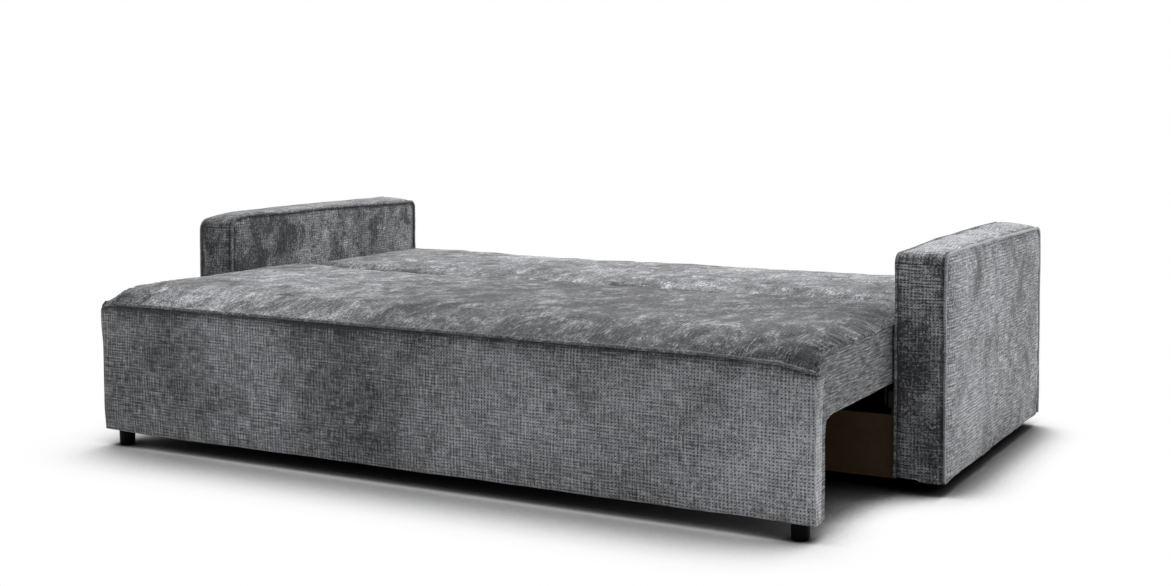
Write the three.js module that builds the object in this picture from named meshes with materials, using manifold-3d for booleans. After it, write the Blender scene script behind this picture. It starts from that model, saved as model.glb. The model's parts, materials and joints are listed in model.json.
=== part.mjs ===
// Sleeper sofa with a pull-out bed, shown as a bed: the seat is pulled forward and the
// backrest lies flat behind it. Millimetres, +X to the right seen from the front, +Y to
// the rear, +Z up. In this source the front faces of the arms lie at Y = 0.
import * as THREE from 'three';
import { mergeVertices } from 'three/addons/utils/BufferGeometryUtils.js';
import Module from 'manifold-3d';

const wasm = await Module();
wasm.setup();

// General clearances
const CLEARANCE = 0.3;
const OVERRUN = 20;
const BOARD = 18;
const SKIN = 3.7;
const SHEET = 2;
const PLATE = 4;

// Arms
const BED_LENGTH = 2000;
const SIDE_GAP = 4;
const ARM_THICKNESS = 124;
const ARM_DEPTH = 941;
const ARM_HEIGHT = 572;
const ARM_HEM_HEIGHT = 37;
const ARM_FRONT_RADIUS = 28;
const ARM_REAR_RADIUS = 25;
const ARM_PADDING = 10;
const ARM_SIDE_CROWN = 3.5;
const ARM_BAND_CROWN = 5;
const ARM_CROWN_REACH = 60;
const ARM_POST = 45;
const ARM_FRAME_RISE = 5;
const ARM_FOOT_SETBACK = 90;
const PIPING_RADIUS = 3.6;
const PIPING_SEAT = 8;

// Feet
const FOOT_RADIUS = 21;
const FOOT_TAPER = 2;
const FOOT_EDGE = 2.5;

// Seat
const SEAT_REACH = 508;
const SEAT_HEM_HEIGHT = 41;
const SEAT_UNDERSIDE = 258;
const SEAT_BAND_HEIGHT = 123;
const SEAT_RAIL = 34;
const SEAT_RAIL_HEIGHT = 56;
const SEAT_EDGE_REACH = 46;
const SEAT_EDGE_RISE = 20;
const SEAT_CROWN = 16;
const SEAT_CROWN_REACH = 330;
const SEAT_CORNER_RADIUS = 24;
const CHEEK_DEPTH = 60.5;
const CHEEK_WIDTH = 72;
const CHEEK_CORNER_RADIUS = 30;
const SEAT_FOOT_SETBACK = 44;

// Backrest
const BACK_REAR_SETBACK = 7;
const BACK_LENGTH = 618;
const BACK_THICKNESS = 148;
const BACK_DROP = 1;
const BACK_EDGE_RADIUS = 30;
const BACK_CROWN = 12;
const BACK_CROWN_REACH = 260;
const BACK_EDGE_ROLL = 32;
const BACK_REBATE = 52;
const BACK_OVERHANG = 26;
const BACK_FRAME_HEIGHT = 50;
const BACK_SIDE_PADDING = 9.7;

// Base with the bedding box
const BASE_SETBACK = 23.5;
const BASE_BOARD = 16;
const BASE_BOTTOM = 28;
const BASE_FRONT_DROP = 80;
const BASE_SIDE_DROP = 18;
const BASE_REAR_SETBACK = 20;
const FLOOR_PANEL_RISE = 14;
const FLOOR_PANEL = 6;
const REST_STRIP_WIDTH = 28;
const REST_STRIP_HEIGHT = 20;
const WEBBING = 50;

// Runners, rollers, hinges and links
const STOP_GAP = 16;
const CHANNEL_WALL = 2;
const CHANNEL_HEIGHT = 40;
const CHANNEL_DEPTH = 15;
const CHANNEL_DROP = 72;
const CHANNEL_SPARE = 26;
const ROLLER_RADIUS = 16;
const ROLLER_WIDTH = 11;
const ROLLER_TREAD = 1;
const AXLE_RADIUS = 4;
const ROLLER_SPACING = 140;
const REAR_ROLLER_INSET = 46;
const PIN_RADIUS = 6;
const LUG_RADIUS = 16;
const LINK_HALF_WIDTH = 10;
const LINK_ARM = 130;
const LINK_RISE = -4;
const LINK_FOOT_HEIGHT = 70;
const LINK_PLATE = 60;
const BOLT_RADIUS = 5;
const BOLT_HEAD_RADIUS = 11;
const BOLT_HEAD = 5;
const BOLT_HEIGHT = 120;

// Shares of the sizes that they follow
const boltDepthShares = [0.14, 0.74];
const bandCrownShare = 0.75;

// Counts of repeated features and of the facets of round ones
const ARM_WINDOWS = 4;
const ARM_WINDOW_ROWS = 2;
const SEAT_WINDOWS = 3;
const BACK_WINDOWS = 3;
const SEAT_STRAPS_ACROSS = 11;
const SEAT_STRAPS_ALONG = 4;
const BACK_STRAPS_ACROSS = 9;
const BACK_STRAPS_ALONG = 3;
const ARC_STEPS = 6;
const PAD_STEPS = 5;
const ROUND_SIDES = 24;
const PIPING_SIDES = 8;
const BOLT_HEAD_SIDES = 6;

// Worked out from the sizes above
const SEAT_HALF = BED_LENGTH / 2;
const ARM_INNER = SEAT_HALF + SIDE_GAP;
const ARM_CENTRE = ARM_INNER + ARM_THICKNESS / 2;
const HALF_THICKNESS = BACK_THICKNESS / 2;
const BACK_REAR = ARM_DEPTH - BACK_REAR_SETBACK;
const BACK_FRONT = BACK_REAR - BACK_LENGTH;
const BACK_UNDERSIDE = SEAT_UNDERSIDE - BACK_DROP;
const SEAT_SEAM_HEIGHT = SEAT_UNDERSIDE + SEAT_BAND_HEIGHT;
const BASE_FRONT_TOP = SEAT_UNDERSIDE - BASE_FRONT_DROP;
const BASE_SIDE_TOP = SEAT_UNDERSIDE - BASE_SIDE_DROP;
const CHANNEL_BOTTOM = SEAT_UNDERSIDE - CHANNEL_DROP;
const HINGE_Y = BACK_FRONT + HALF_THICKNESS;
const HINGE_Z = BACK_UNDERSIDE + HALF_THICKNESS;
const BACK_SWEEP = (HALF_THICKNESS - BACK_EDGE_RADIUS) * Math.SQRT2 + BACK_EDGE_RADIUS;
const BACK_BODY_HALF = SEAT_HALF - BACK_REBATE;
const BACK_FRAME_HALF = BACK_BODY_HALF - BACK_SIDE_PADDING - CLEARANCE;
const BACK_TOP = BACK_UNDERSIDE + BACK_THICKNESS;
const BACK_HOLLOW_TOP = BACK_TOP - BACK_OVERHANG;
const BACK_FRAME_BOTTOM = BACK_UNDERSIDE + SHEET + CLEARANCE * 2;
const BACK_DECK = BACK_FRAME_BOTTOM + BACK_FRAME_HEIGHT;
const SEAT_FRONT = -SEAT_REACH;
const SEAT_FRAME_REAR = HINGE_Y - BACK_SWEEP - SHEET - CLEARANCE * 5;
const CUSHION_REAR = BACK_FRONT - BACK_CROWN - CLEARANCE * 3;
const SEAT_FRAME_BOTTOM = SEAT_UNDERSIDE + SKIN + CLEARANCE;
const SEAT_DECK = SEAT_FRAME_BOTTOM + SEAT_RAIL_HEIGHT;
const SEAT_BOARD_FRONT = SEAT_FRONT + SKIN + CLEARANCE;
const SEAT_FRAME_FRONT = SEAT_BOARD_FRONT + BOARD + CLEARANCE;
const SEAT_BODY_HALF = SEAT_HALF - SKIN - CLEARANCE;
const SEAT_RAIL_INNER = SEAT_BODY_HALF - SEAT_RAIL;
const SEAT_RAIL_MIDDLE = SEAT_BODY_HALF - SEAT_RAIL / 2;
const FRONT_COVER_TOP = SEAT_SEAM_HEIGHT - PIPING_RADIUS - CLEARANCE;
const ARM_FRAME_BOTTOM = ARM_HEM_HEIGHT + ARM_FRAME_RISE;
const REST_STRIP_TOP = BACK_UNDERSIDE - CLEARANCE;
const CHEEK_REAR = SEAT_FRONT + CHEEK_DEPTH;
const CHEEK_INNER = SEAT_HALF - CHEEK_WIDTH;
const SEAT_TRAVEL = BASE_SETBACK - STOP_GAP - CHEEK_REAR;
const BASE_REAR = ARM_DEPTH - BASE_REAR_SETBACK;
const BASE_SIDE_OUTER = ARM_INNER - CLEARANCE;
const BASE_SIDE_INNER = BASE_SIDE_OUTER - BOARD;
const CHANNEL_OUTER = BASE_SIDE_INNER - CLEARANCE;
const CHANNEL_INNER = CHANNEL_OUTER - CHANNEL_DEPTH;
const ROLLER_OUTER = CHANNEL_OUTER - CHANNEL_WALL - CLEARANCE * 3;
const ROLLER_INNER = ROLLER_OUTER - ROLLER_WIDTH;
const AXLE_Z = CHANNEL_BOTTOM + CHANNEL_WALL + CLEARANCE + ROLLER_RADIUS;
const CARRIAGE_OUTER = SEAT_RAIL_INNER - CLEARANCE;
const CARRIAGE_INNER = CARRIAGE_OUTER - PLATE;
const BRACKET_INNER = BACK_BODY_HALF + CLEARANCE;
const BRACKET_OUTER = BRACKET_INNER + PLATE;
const LINK_OUTER = CHANNEL_INNER - SHEET;
const LINK_INNER = LINK_OUTER - PLATE;
const REAR_ROLLER_Y = SEAT_FRAME_REAR - REAR_ROLLER_INSET;
const rollerPlaces = { rear: REAR_ROLLER_Y, front: REAR_ROLLER_Y - ROLLER_SPACING };

// The link's fixed pivot lies on the perpendicular bisector of its moving pivot's two
// end places, so its length is the same with the sofa open and closed.
const LINK_START = new THREE.Vector2(HINGE_Y + LINK_ARM, HINGE_Z + LINK_RISE);
const LINK_END = new THREE.Vector2(HINGE_Y + SEAT_TRAVEL - LINK_RISE, HINGE_Z + LINK_ARM);
const linkMiddle = LINK_START.clone().add(LINK_END).divideScalar(2);
const linkChord = LINK_END.clone().sub(LINK_START);
const linkDrop = (linkMiddle.y - LINK_FOOT_HEIGHT) / linkChord.x;
const LINK_FOOT = new THREE.Vector2(linkMiddle.x + linkChord.y * linkDrop, LINK_FOOT_HEIGHT);

// Solids from geometries and back
function welded(geometry) {
  const bare = geometry.clone();
  bare.deleteAttribute('normal');
  bare.deleteAttribute('uv');
  return mergeVertices(bare);
}

function toSolid(geometry) {
  const merged = welded(geometry);
  return new wasm.Manifold(new wasm.Mesh({
    numProp: 3,
    vertProperties: new Float32Array(merged.attributes.position.array),
    triVerts: new Uint32Array(merged.index.array),
  }));
}

function toGeometry(solid) {
  const mesh = solid.getMesh();
  const geometry = new THREE.BufferGeometry();
  geometry.setAttribute('position', new THREE.BufferAttribute(new Float32Array(mesh.vertProperties), 3));
  geometry.setIndex(new THREE.BufferAttribute(new Uint32Array(mesh.triVerts), 1));
  return geometry;
}

function join(first, ...others) {
  return toGeometry(others.reduce((sum, other) => sum.add(toSolid(other)), toSolid(first)));
}

function cut(first, ...others) {
  return toGeometry(others.reduce((rest, other) => rest.subtract(toSolid(other)), toSolid(first)));
}

function mirrored(geometry) {
  const copy = welded(geometry).scale(-1, 1, 1);
  const index = copy.index.array;
  for (let i = 0; i < index.length; i += 3) {
    [index[i], index[i + 1]] = [index[i + 1], index[i]];
  }
  return copy;
}

// Flat outlines
function outline(points) {
  return new THREE.Shape(points.map(([u, v]) => new THREE.Vector2(u, v)));
}

function rectangle(u0, u1, v0, v1) {
  return outline([[u0, v0], [u1, v0], [u1, v1], [u0, v1]]);
}

function regularOutline(radius, sides) {
  const points = [];
  for (let i = 0; i < sides; i += 1) {
    const angle = (2 * Math.PI * i) / sides;
    points.push([radius * Math.cos(angle), radius * Math.sin(angle)]);
  }
  return outline(points);
}

// A quarter turn of an arc as points, both ends included
function quarter(centreU, centreV, radiusU, radiusV, start, steps = ARC_STEPS) {
  const points = [];
  for (let i = 0; i <= steps; i += 1) {
    const angle = start - (Math.PI / 2) * (i / steps);
    points.push([centreU + radiusU * Math.cos(angle), centreV + radiusV * Math.sin(angle)]);
  }
  return points;
}

// An outline given its thickness. For alongX it is drawn in Y and Z, for alongY in X and
// Z, and for alongZ in X and Y.
function extrude(shape, thickness) {
  return new THREE.ExtrudeGeometry(shape, {
    depth: thickness, bevelEnabled: false, curveSegments: ARC_STEPS,
  });
}

function alongX(shape, from, to) {
  return extrude(shape, to - from).rotateX(Math.PI / 2).rotateZ(Math.PI / 2).translate(from, 0, 0);
}

function alongY(shape, from, to) {
  return extrude(shape, to - from).rotateX(Math.PI / 2).translate(0, to, 0);
}

function alongZ(shape, from, to) {
  return extrude(shape, to - from).translate(0, 0, from);
}

function block(x0, x1, y0, y1, z0, z1) {
  return alongZ(rectangle(x0, x1, y0, y1), z0, z1);
}

// A plate with rows of windows between equal bars, as in a frame or a lattice of straps
function lattice(half, y0, y1, z0, z1, columns, rows, bar, edge) {
  const windows = [];
  const pitchX = (2 * (half - edge) + bar) / columns;
  const pitchY = (y1 - y0 - 2 * edge + bar) / rows;
  for (let i = 0; i < columns; i += 1) {
    for (let j = 0; j < rows; j += 1) {
      const x = -half + edge + i * pitchX;
      const y = y0 + edge + j * pitchY;
      windows.push(block(x, x + pitchX - bar, y, y + pitchY - bar, z0 - OVERRUN, z1 + OVERRUN));
    }
  }
  return cut(block(-half, half, y0, y1, z0, z1), ...windows);
}

// A round bar along X
function barX(radius, from, to, y, z, sides = ROUND_SIDES) {
  const geometry = new THREE.CylinderGeometry(radius, radius, to - from, sides);
  geometry.rotateZ(Math.PI / 2);
  return geometry.translate((from + to) / 2, y, z);
}

// A closed body through rings of points of equal count, with flat ends
function loft(rings) {
  const count = rings[0].length;
  const positions = rings.flat(2);
  const index = [];
  for (let r = 0; r < rings.length - 1; r += 1) {
    for (let i = 0; i < count; i += 1) {
      const a = r * count + i;
      const b = r * count + ((i + 1) % count);
      index.push(a, b, b + count, a, b + count, a + count);
    }
  }
  const last = (rings.length - 1) * count;
  for (let i = 1; i < count - 1; i += 1) {
    index.push(0, i + 1, i);
    index.push(last, last + i, last + i + 1);
  }
  const geometry = new THREE.BufferGeometry();
  geometry.setAttribute('position', new THREE.Float32BufferAttribute(positions, 3));
  geometry.setIndex(index);
  return geometry;
}

// A path that takes one step to each of its stations
class StationPath extends THREE.Curve {
  constructor(stations) {
    super();
    this.stations = stations;
  }

  getPoint(t, target = new THREE.Vector3()) {
    const place = t * (this.stations.length - 1);
    const start = Math.min(Math.floor(place), this.stations.length - 2);
    return target.lerpVectors(this.stations[start], this.stations[start + 1], place - start);
  }

  getPointAt(u, target) {
    return this.getPoint(u, target);
  }

  getTangentAt(u, target = new THREE.Vector3()) {
    const here = Math.round(u * (this.stations.length - 1));
    const before = this.stations[Math.max(here - 1, 0)];
    const after = this.stations[Math.min(here + 1, this.stations.length - 1)];
    return target.subVectors(after, before).normalize();
  }
}

function pipe(points, radius) {
  const path = new StationPath(points.map(([x, y, z]) => new THREE.Vector3(x, y, z)));
  return new THREE.ExtrudeGeometry(regularOutline(radius, PIPING_SIDES), {
    steps: points.length - 1, extrudePath: path, bevelEnabled: false,
  });
}

// Arms: outline of a side panel in Y and Z, grown by an offset all round but at the hem
function armOutline(offset, hem = ARM_HEM_HEIGHT) {
  const frontRadius = Math.max(ARM_FRONT_RADIUS + offset, PIPING_SEAT);
  const rearRadius = Math.max(ARM_REAR_RADIUS + offset, PIPING_SEAT);
  const top = ARM_HEIGHT + offset;
  const rear = ARM_DEPTH + offset;
  return [
    [-offset, hem],
    ...quarter(frontRadius - offset, top - frontRadius, frontRadius, frontRadius, Math.PI),
    ...quarter(rear - rearRadius, top - rearRadius, rearRadius, rearRadius, Math.PI / 2),
    [rear, hem],
  ];
}

function armRing(x, offset) {
  return armOutline(offset).map(([y, z]) => [x, y, z]).reverse();
}

// The padded cover: its outer panel and band are crowned, its inner panel lies flat on the
// base, its edges are chamfered to seat the piping, and it is open at the hem.
function armCover() {
  const half = ARM_THICKNESS / 2;
  const band = half - PIPING_SEAT;
  const outside = loft([
    armRing(ARM_CENTRE - half, -PIPING_SEAT),
    armRing(ARM_CENTRE - band, 0),
    armRing(ARM_CENTRE - band / 2, ARM_BAND_CROWN * bandCrownShare),
    armRing(ARM_CENTRE, ARM_BAND_CROWN),
    armRing(ARM_CENTRE + band / 2, ARM_BAND_CROWN * bandCrownShare),
    armRing(ARM_CENTRE + band, 0),
    armRing(ARM_CENTRE + half, -PIPING_SEAT),
    armRing(ARM_CENTRE + half + ARM_SIDE_CROWN / 2, -(ARM_CROWN_REACH + PIPING_SEAT) / 2),
    armRing(ARM_CENTRE + half + ARM_SIDE_CROWN, -ARM_CROWN_REACH),
  ]);
  const hollow = alongX(outline(armOutline(-ARM_PADDING, ARM_HEM_HEIGHT - OVERRUN)),
    ARM_CENTRE - half + ARM_PADDING, ARM_CENTRE + half - ARM_PADDING);
  return cut(outside, hollow, ...armBoltPlaces().map(boltHole));
}

// The timber frame inside an arm: posts and rails round open windows
function armFrame() {
  const inset = ARM_PADDING + CLEARANCE;
  const half = ARM_THICKNESS / 2 - inset;
  const pitchY = (ARM_DEPTH - 2 * inset - ARM_POST) / ARM_WINDOWS;
  const pitchZ = (ARM_HEIGHT - inset - ARM_FRAME_BOTTOM - ARM_POST) / ARM_WINDOW_ROWS;
  const windows = [];
  for (let i = 0; i < ARM_WINDOWS; i += 1) {
    for (let j = 0; j < ARM_WINDOW_ROWS; j += 1) {
      const y = inset + ARM_POST + i * pitchY;
      const z = ARM_FRAME_BOTTOM + ARM_POST + j * pitchZ;
      windows.push(block(ARM_INNER, ARM_INNER + ARM_THICKNESS, y, y + pitchY - ARM_POST,
        z, z + pitchZ - ARM_POST));
    }
  }
  const whole = alongX(outline(armOutline(-inset, ARM_FRAME_BOTTOM)), ARM_CENTRE - half, ARM_CENTRE + half);
  return cut(whole, ...windows, ...armBoltPlaces().map(boltHole));
}

// Welt along the edge of a side panel: up the front, along the top and down the rear
function armPiping(side) {
  const seat = (PIPING_RADIUS + CLEARANCE) / Math.SQRT2 - PIPING_SEAT / 2;
  const x = ARM_CENTRE + side * (ARM_THICKNESS / 2 + seat);
  return pipe(armOutline(seat).map(([y, z]) => [x, y, z]), PIPING_RADIUS);
}

// A tapered round foot with broken edges, standing on the floor
function foot(x, y, top) {
  const lower = FOOT_RADIUS - FOOT_TAPER;
  const profile = [[0, 0], [lower - FOOT_EDGE, 0], [lower, FOOT_EDGE], [FOOT_RADIUS, top], [0, top]];
  const geometry = new THREE.LatheGeometry(profile.map(([r, z]) => new THREE.Vector2(r, z)), ROUND_SIDES);
  geometry.rotateX(Math.PI / 2);
  return geometry.translate(x, y, 0);
}

// Bolts that hold an arm to the base
function armBoltPlaces() {
  return boltDepthShares.map((share) => ARM_DEPTH * share);
}

function boltHole(y) {
  return barX(BOLT_RADIUS + CLEARANCE, BASE_SIDE_INNER - OVERRUN, ARM_CENTRE, y, BOLT_HEIGHT);
}

function armBolt(y) {
  const head = barX(BOLT_HEAD_RADIUS, BASE_SIDE_INNER - CLEARANCE - BOLT_HEAD, BASE_SIDE_INNER - CLEARANCE,
    y, BOLT_HEIGHT, BOLT_HEAD_SIDES);
  const shank = barX(BOLT_RADIUS, BASE_SIDE_INNER - BOLT_HEAD, ARM_CENTRE - CLEARANCE, y, BOLT_HEIGHT);
  return join(head, shank);
}

// The base: four boards and a floor panel that make the bedding box
function baseFrontBoard() {
  return block(-BASE_SIDE_OUTER, BASE_SIDE_OUTER, BASE_SETBACK, BASE_SETBACK + BASE_BOARD,
    BASE_BOTTOM, BASE_FRONT_TOP);
}

function baseRearBoard() {
  return block(-BASE_SIDE_OUTER, BASE_SIDE_OUTER, BASE_REAR - BASE_BOARD, BASE_REAR,
    BASE_BOTTOM, REST_STRIP_TOP - REST_STRIP_HEIGHT - CLEARANCE);
}

function restStrip() {
  return block(-BACK_FRAME_HALF, BACK_FRAME_HALF, BASE_REAR - REST_STRIP_WIDTH, BASE_REAR,
    REST_STRIP_TOP - REST_STRIP_HEIGHT, REST_STRIP_TOP);
}

// A side board steps up behind the front board to carry the runner
function baseSideBoard() {
  const front = BASE_SETBACK + BASE_BOARD + CLEARANCE;
  const shape = outline([
    [front, BASE_BOTTOM], [BASE_REAR - BASE_BOARD - CLEARANCE, BASE_BOTTOM],
    [BASE_REAR - BASE_BOARD - CLEARANCE, BASE_SIDE_TOP], [front + BASE_BOARD, BASE_SIDE_TOP],
    [front, BASE_FRONT_TOP],
  ]);
  return cut(alongX(shape, BASE_SIDE_INNER, BASE_SIDE_OUTER), ...armBoltPlaces().map(boltHole));
}

function baseFloorPanel() {
  return block(-BASE_SIDE_INNER + CLEARANCE, BASE_SIDE_INNER - CLEARANCE,
    BASE_SETBACK + BASE_BOARD + CLEARANCE, BASE_REAR - BASE_BOARD - CLEARANCE,
    BASE_BOTTOM + FLOOR_PANEL_RISE, BASE_BOTTOM + FLOOR_PANEL_RISE + FLOOR_PANEL);
}

// A runner: a channel open towards the middle of the sofa, closed by a stop at each end
function runner() {
  const top = CHANNEL_BOTTOM + CHANNEL_HEIGHT;
  const start = rollerPlaces.front - ROLLER_RADIUS - CHANNEL_SPARE;
  const end = rollerPlaces.rear + SEAT_TRAVEL + ROLLER_RADIUS + CHANNEL_SPARE;
  const section = outline([
    [CHANNEL_INNER, CHANNEL_BOTTOM], [CHANNEL_OUTER, CHANNEL_BOTTOM],
    [CHANNEL_OUTER, top], [CHANNEL_INNER, top],
    [CHANNEL_INNER, top - CHANNEL_WALL], [CHANNEL_OUTER - CHANNEL_WALL, top - CHANNEL_WALL],
    [CHANNEL_OUTER - CHANNEL_WALL, CHANNEL_BOTTOM + CHANNEL_WALL],
    [CHANNEL_INNER, CHANNEL_BOTTOM + CHANNEL_WALL],
  ]);
  const stop = (y) => block(CHANNEL_INNER, CHANNEL_OUTER, y, y + CHANNEL_WALL, CHANNEL_BOTTOM, top);
  return join(alongY(section, start, end), stop(start), stop(end - CHANNEL_WALL));
}

// The fixed pivot of a link: a plate on the side board, a boss and a pin
function linkBracket() {
  const half = LINK_PLATE / 2;
  const plate = block(CHANNEL_OUTER - CHANNEL_WALL, CHANNEL_OUTER, LINK_FOOT.x - half, LINK_FOOT.x + half,
    LINK_FOOT.y - half / 2, LINK_FOOT.y + half);
  const boss = barX(LINK_HALF_WIDTH, LINK_OUTER + CLEARANCE, CHANNEL_OUTER - CHANNEL_WALL / 2,
    LINK_FOOT.x, LINK_FOOT.y);
  const pin = barX(PIN_RADIUS, LINK_INNER - SHEET, LINK_OUTER + SHEET, LINK_FOOT.x, LINK_FOOT.y);
  return join(plate, boss, pin);
}

// A link: a flat bar with round ends, bored for the pin of its fixed pivot
function link() {
  const length = LINK_START.distanceTo(LINK_FOOT);
  const shape = new THREE.Shape();
  shape.absarc(0, 0, LINK_HALF_WIDTH, Math.PI / 2, (3 * Math.PI) / 2);
  shape.absarc(length, 0, LINK_HALF_WIDTH, -Math.PI / 2, Math.PI / 2);
  const bar = new THREE.ExtrudeGeometry(shape, {
    depth: PLATE, bevelEnabled: false, curveSegments: ARC_STEPS * 2,
  });
  bar.rotateX(Math.PI / 2).rotateZ(Math.PI / 2);
  bar.rotateX(Math.atan2(LINK_START.y - LINK_FOOT.y, LINK_START.x - LINK_FOOT.x));
  bar.translate(LINK_INNER, LINK_FOOT.x, LINK_FOOT.y);
  const bore = barX(PIN_RADIUS + CLEARANCE, LINK_INNER - OVERRUN, LINK_OUTER + OVERRUN,
    LINK_FOOT.x, LINK_FOOT.y);
  return cut(bar, bore);
}

// Seat: an open timber frame with cross rails
function seatFrame() {
  return lattice(SEAT_BODY_HALF, SEAT_FRAME_FRONT, SEAT_FRAME_REAR, SEAT_FRAME_BOTTOM, SEAT_DECK,
    SEAT_WINDOWS, 1, SEAT_RAIL, SEAT_RAIL);
}

function seatWebbing() {
  return lattice(SEAT_BODY_HALF, SEAT_FRAME_FRONT, SEAT_FRAME_REAR,
    SEAT_DECK + CLEARANCE, SEAT_DECK + CLEARANCE + SHEET,
    SEAT_STRAPS_ACROSS, SEAT_STRAPS_ALONG, WEBBING, SEAT_RAIL);
}

// Foam over the webbing, with both of its top edges along Y rounded
function seatFoam() {
  const bottom = SEAT_DECK + 2 * CLEARANCE + SHEET;
  const radius = SEAT_CORNER_RADIUS;
  const side = SEAT_BODY_HALF - radius;
  const height = SEAT_SEAM_HEIGHT - CLEARANCE - radius;
  const section = outline([
    [-SEAT_BODY_HALF, bottom], ...quarter(-side, height, radius, radius, Math.PI),
    ...quarter(side, height, radius, radius, Math.PI / 2), [SEAT_BODY_HALF, bottom],
  ]);
  return alongY(section, SEAT_BOARD_FRONT + BOARD + CLEARANCE, SEAT_FRAME_REAR);
}

function plateRing(halfX, y0, y1, corner, z) {
  const radius = Math.max(corner, CLEARANCE);
  const left = -halfX + radius;
  const right = halfX - radius;
  return [
    ...quarter(right, y1 - radius, radius, radius, Math.PI / 2),
    ...quarter(right, y0 + radius, radius, radius, 0),
    ...quarter(left, y0 + radius, radius, radius, -Math.PI / 2),
    ...quarter(left, y1 - radius, radius, radius, Math.PI),
  ].map(([x, y]) => [x, y, z]).reverse();
}

// A crowned pad: an upright start, a rounded edge and a top that rises to its crown
function crownedPad(pad) {
  const ring = (inset, z) => plateRing(pad.halfX - inset, pad.front + inset, pad.rear - inset,
    pad.corner - inset, z);
  const rings = pad.foot.map(([inset, z]) => ring(inset, z));
  for (let i = 0; i <= PAD_STEPS; i += 1) {
    const turn = (Math.PI / 2) * (i / PAD_STEPS);
    rings.push(ring(pad.edgeReach * (1 - Math.cos(turn)), pad.edgeZ + pad.edgeRise * Math.sin(turn)));
  }
  for (let i = 1; i <= PAD_STEPS; i += 1) {
    const share = i / PAD_STEPS;
    const rise = pad.crown * (1 - (1 - share) ** 2);
    const inset = pad.edgeReach + (pad.crownReach - pad.edgeReach) * share;
    rings.push(ring(inset, pad.edgeZ + pad.edgeRise + rise));
  }
  return loft(rings);
}

function seatCushion() {
  const seat = PIPING_RADIUS + CLEARANCE;
  return crownedPad({
    halfX: SEAT_HALF, front: SEAT_FRONT, rear: CUSHION_REAR, corner: SEAT_CORNER_RADIUS,
    foot: [[2 * seat + SHEET, SEAT_SEAM_HEIGHT]],
    edgeZ: SEAT_SEAM_HEIGHT + seat + SHEET, edgeReach: SEAT_EDGE_REACH, edgeRise: SEAT_EDGE_RISE,
    crown: SEAT_CROWN, crownReach: SEAT_CROWN_REACH,
  });
}

// The front panel seen from the front, with rounded top corners, grown by an offset
function frontOutline(offset, bottom) {
  const radius = SEAT_CORNER_RADIUS + offset;
  const side = SEAT_HALF - SEAT_CORNER_RADIUS;
  const height = FRONT_COVER_TOP - SEAT_CORNER_RADIUS;
  return [
    [-SEAT_HALF - offset, bottom],
    ...quarter(-side, height, radius, radius, Math.PI),
    ...quarter(side, height, radius, radius, Math.PI / 2),
    [SEAT_HALF + offset, bottom],
  ];
}

function frontPanelBoard() {
  const shape = outline(frontOutline(-SKIN - CLEARANCE, SEAT_HEM_HEIGHT + SKIN + CLEARANCE));
  return alongY(shape, SEAT_BOARD_FRONT, SEAT_BOARD_FRONT + BOARD);
}

// The front panel's cover, turned in below the board between the cheeks
function frontPanelCover() {
  const face = alongY(outline(frontOutline(0, SEAT_HEM_HEIGHT)), SEAT_FRONT, SEAT_FRONT + SKIN);
  const hem = block(-CHEEK_INNER + CLEARANCE, CHEEK_INNER - CLEARANCE, SEAT_FRONT + SKIN / 2,
    SEAT_BOARD_FRONT + BOARD, SEAT_HEM_HEIGHT, SEAT_HEM_HEIGHT + SKIN);
  return join(face, hem);
}

function seatPiping() {
  const path = frontOutline(PIPING_RADIUS + CLEARANCE, FRONT_COVER_TOP - SEAT_CORNER_RADIUS).slice(1, -1);
  return pipe(path.map(([x, z]) => [x, SEAT_FRONT + SKIN / 2, z]), PIPING_RADIUS);
}

// Side of the seat in Y and Z: a band below the cushion that turns down into the cheek
function sideOutline(inset, bottom, rear, top) {
  const front = SEAT_FRONT + SKIN + CLEARANCE;
  const radius = CHEEK_CORNER_RADIUS + inset;
  const corner = SEAT_CORNER_RADIUS;
  return outline([
    [front, bottom], [CHEEK_REAR - inset, bottom],
    ...quarter(CHEEK_REAR - inset + radius, SEAT_UNDERSIDE + inset - radius, radius, radius, Math.PI),
    [rear, SEAT_UNDERSIDE + inset], [rear, top],
    ...quarter(front + corner, top - corner, corner, corner, Math.PI).reverse(),
  ]);
}

// The cover of a seat side: a skin over the rail and the cheek, turned in below the rail
// and behind the cheek
function seatSideCover() {
  const top = SEAT_SEAM_HEIGHT - CLEARANCE;
  const front = SEAT_FRONT + SKIN + CLEARANCE;
  const skin = alongX(sideOutline(0, SEAT_HEM_HEIGHT, SEAT_FRAME_REAR, top), SEAT_RAIL_MIDDLE, SEAT_HALF);
  const cheek = block(CHEEK_INNER, SEAT_HALF, front, CHEEK_REAR, SEAT_HEM_HEIGHT, SEAT_UNDERSIDE);
  const hollow = sideOutline(SKIN, SEAT_HEM_HEIGHT - OVERRUN, SEAT_FRAME_REAR + OVERRUN, top + OVERRUN);
  const inside = alongX(hollow, SEAT_RAIL_MIDDLE - OVERRUN, SEAT_HALF - SKIN);
  const post = block(CHEEK_INNER + SKIN, SEAT_HALF - SKIN, front - OVERRUN, CHEEK_REAR - SKIN,
    SEAT_HEM_HEIGHT - OVERRUN, SEAT_UNDERSIDE + SKIN);
  const frontEdge = block(0, SEAT_HALF - SKIN, SEAT_FRONT - OVERRUN, SEAT_FRAME_FRONT, 0, top + OVERRUN);
  const aboveRail = block(0, SEAT_HALF - SKIN, SEAT_FRONT - OVERRUN, SEAT_FRAME_REAR + OVERRUN,
    SEAT_UNDERSIDE + SKIN, top + OVERRUN);
  return cut(join(skin, cheek), inside, post, frontEdge, aboveRail);
}

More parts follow.
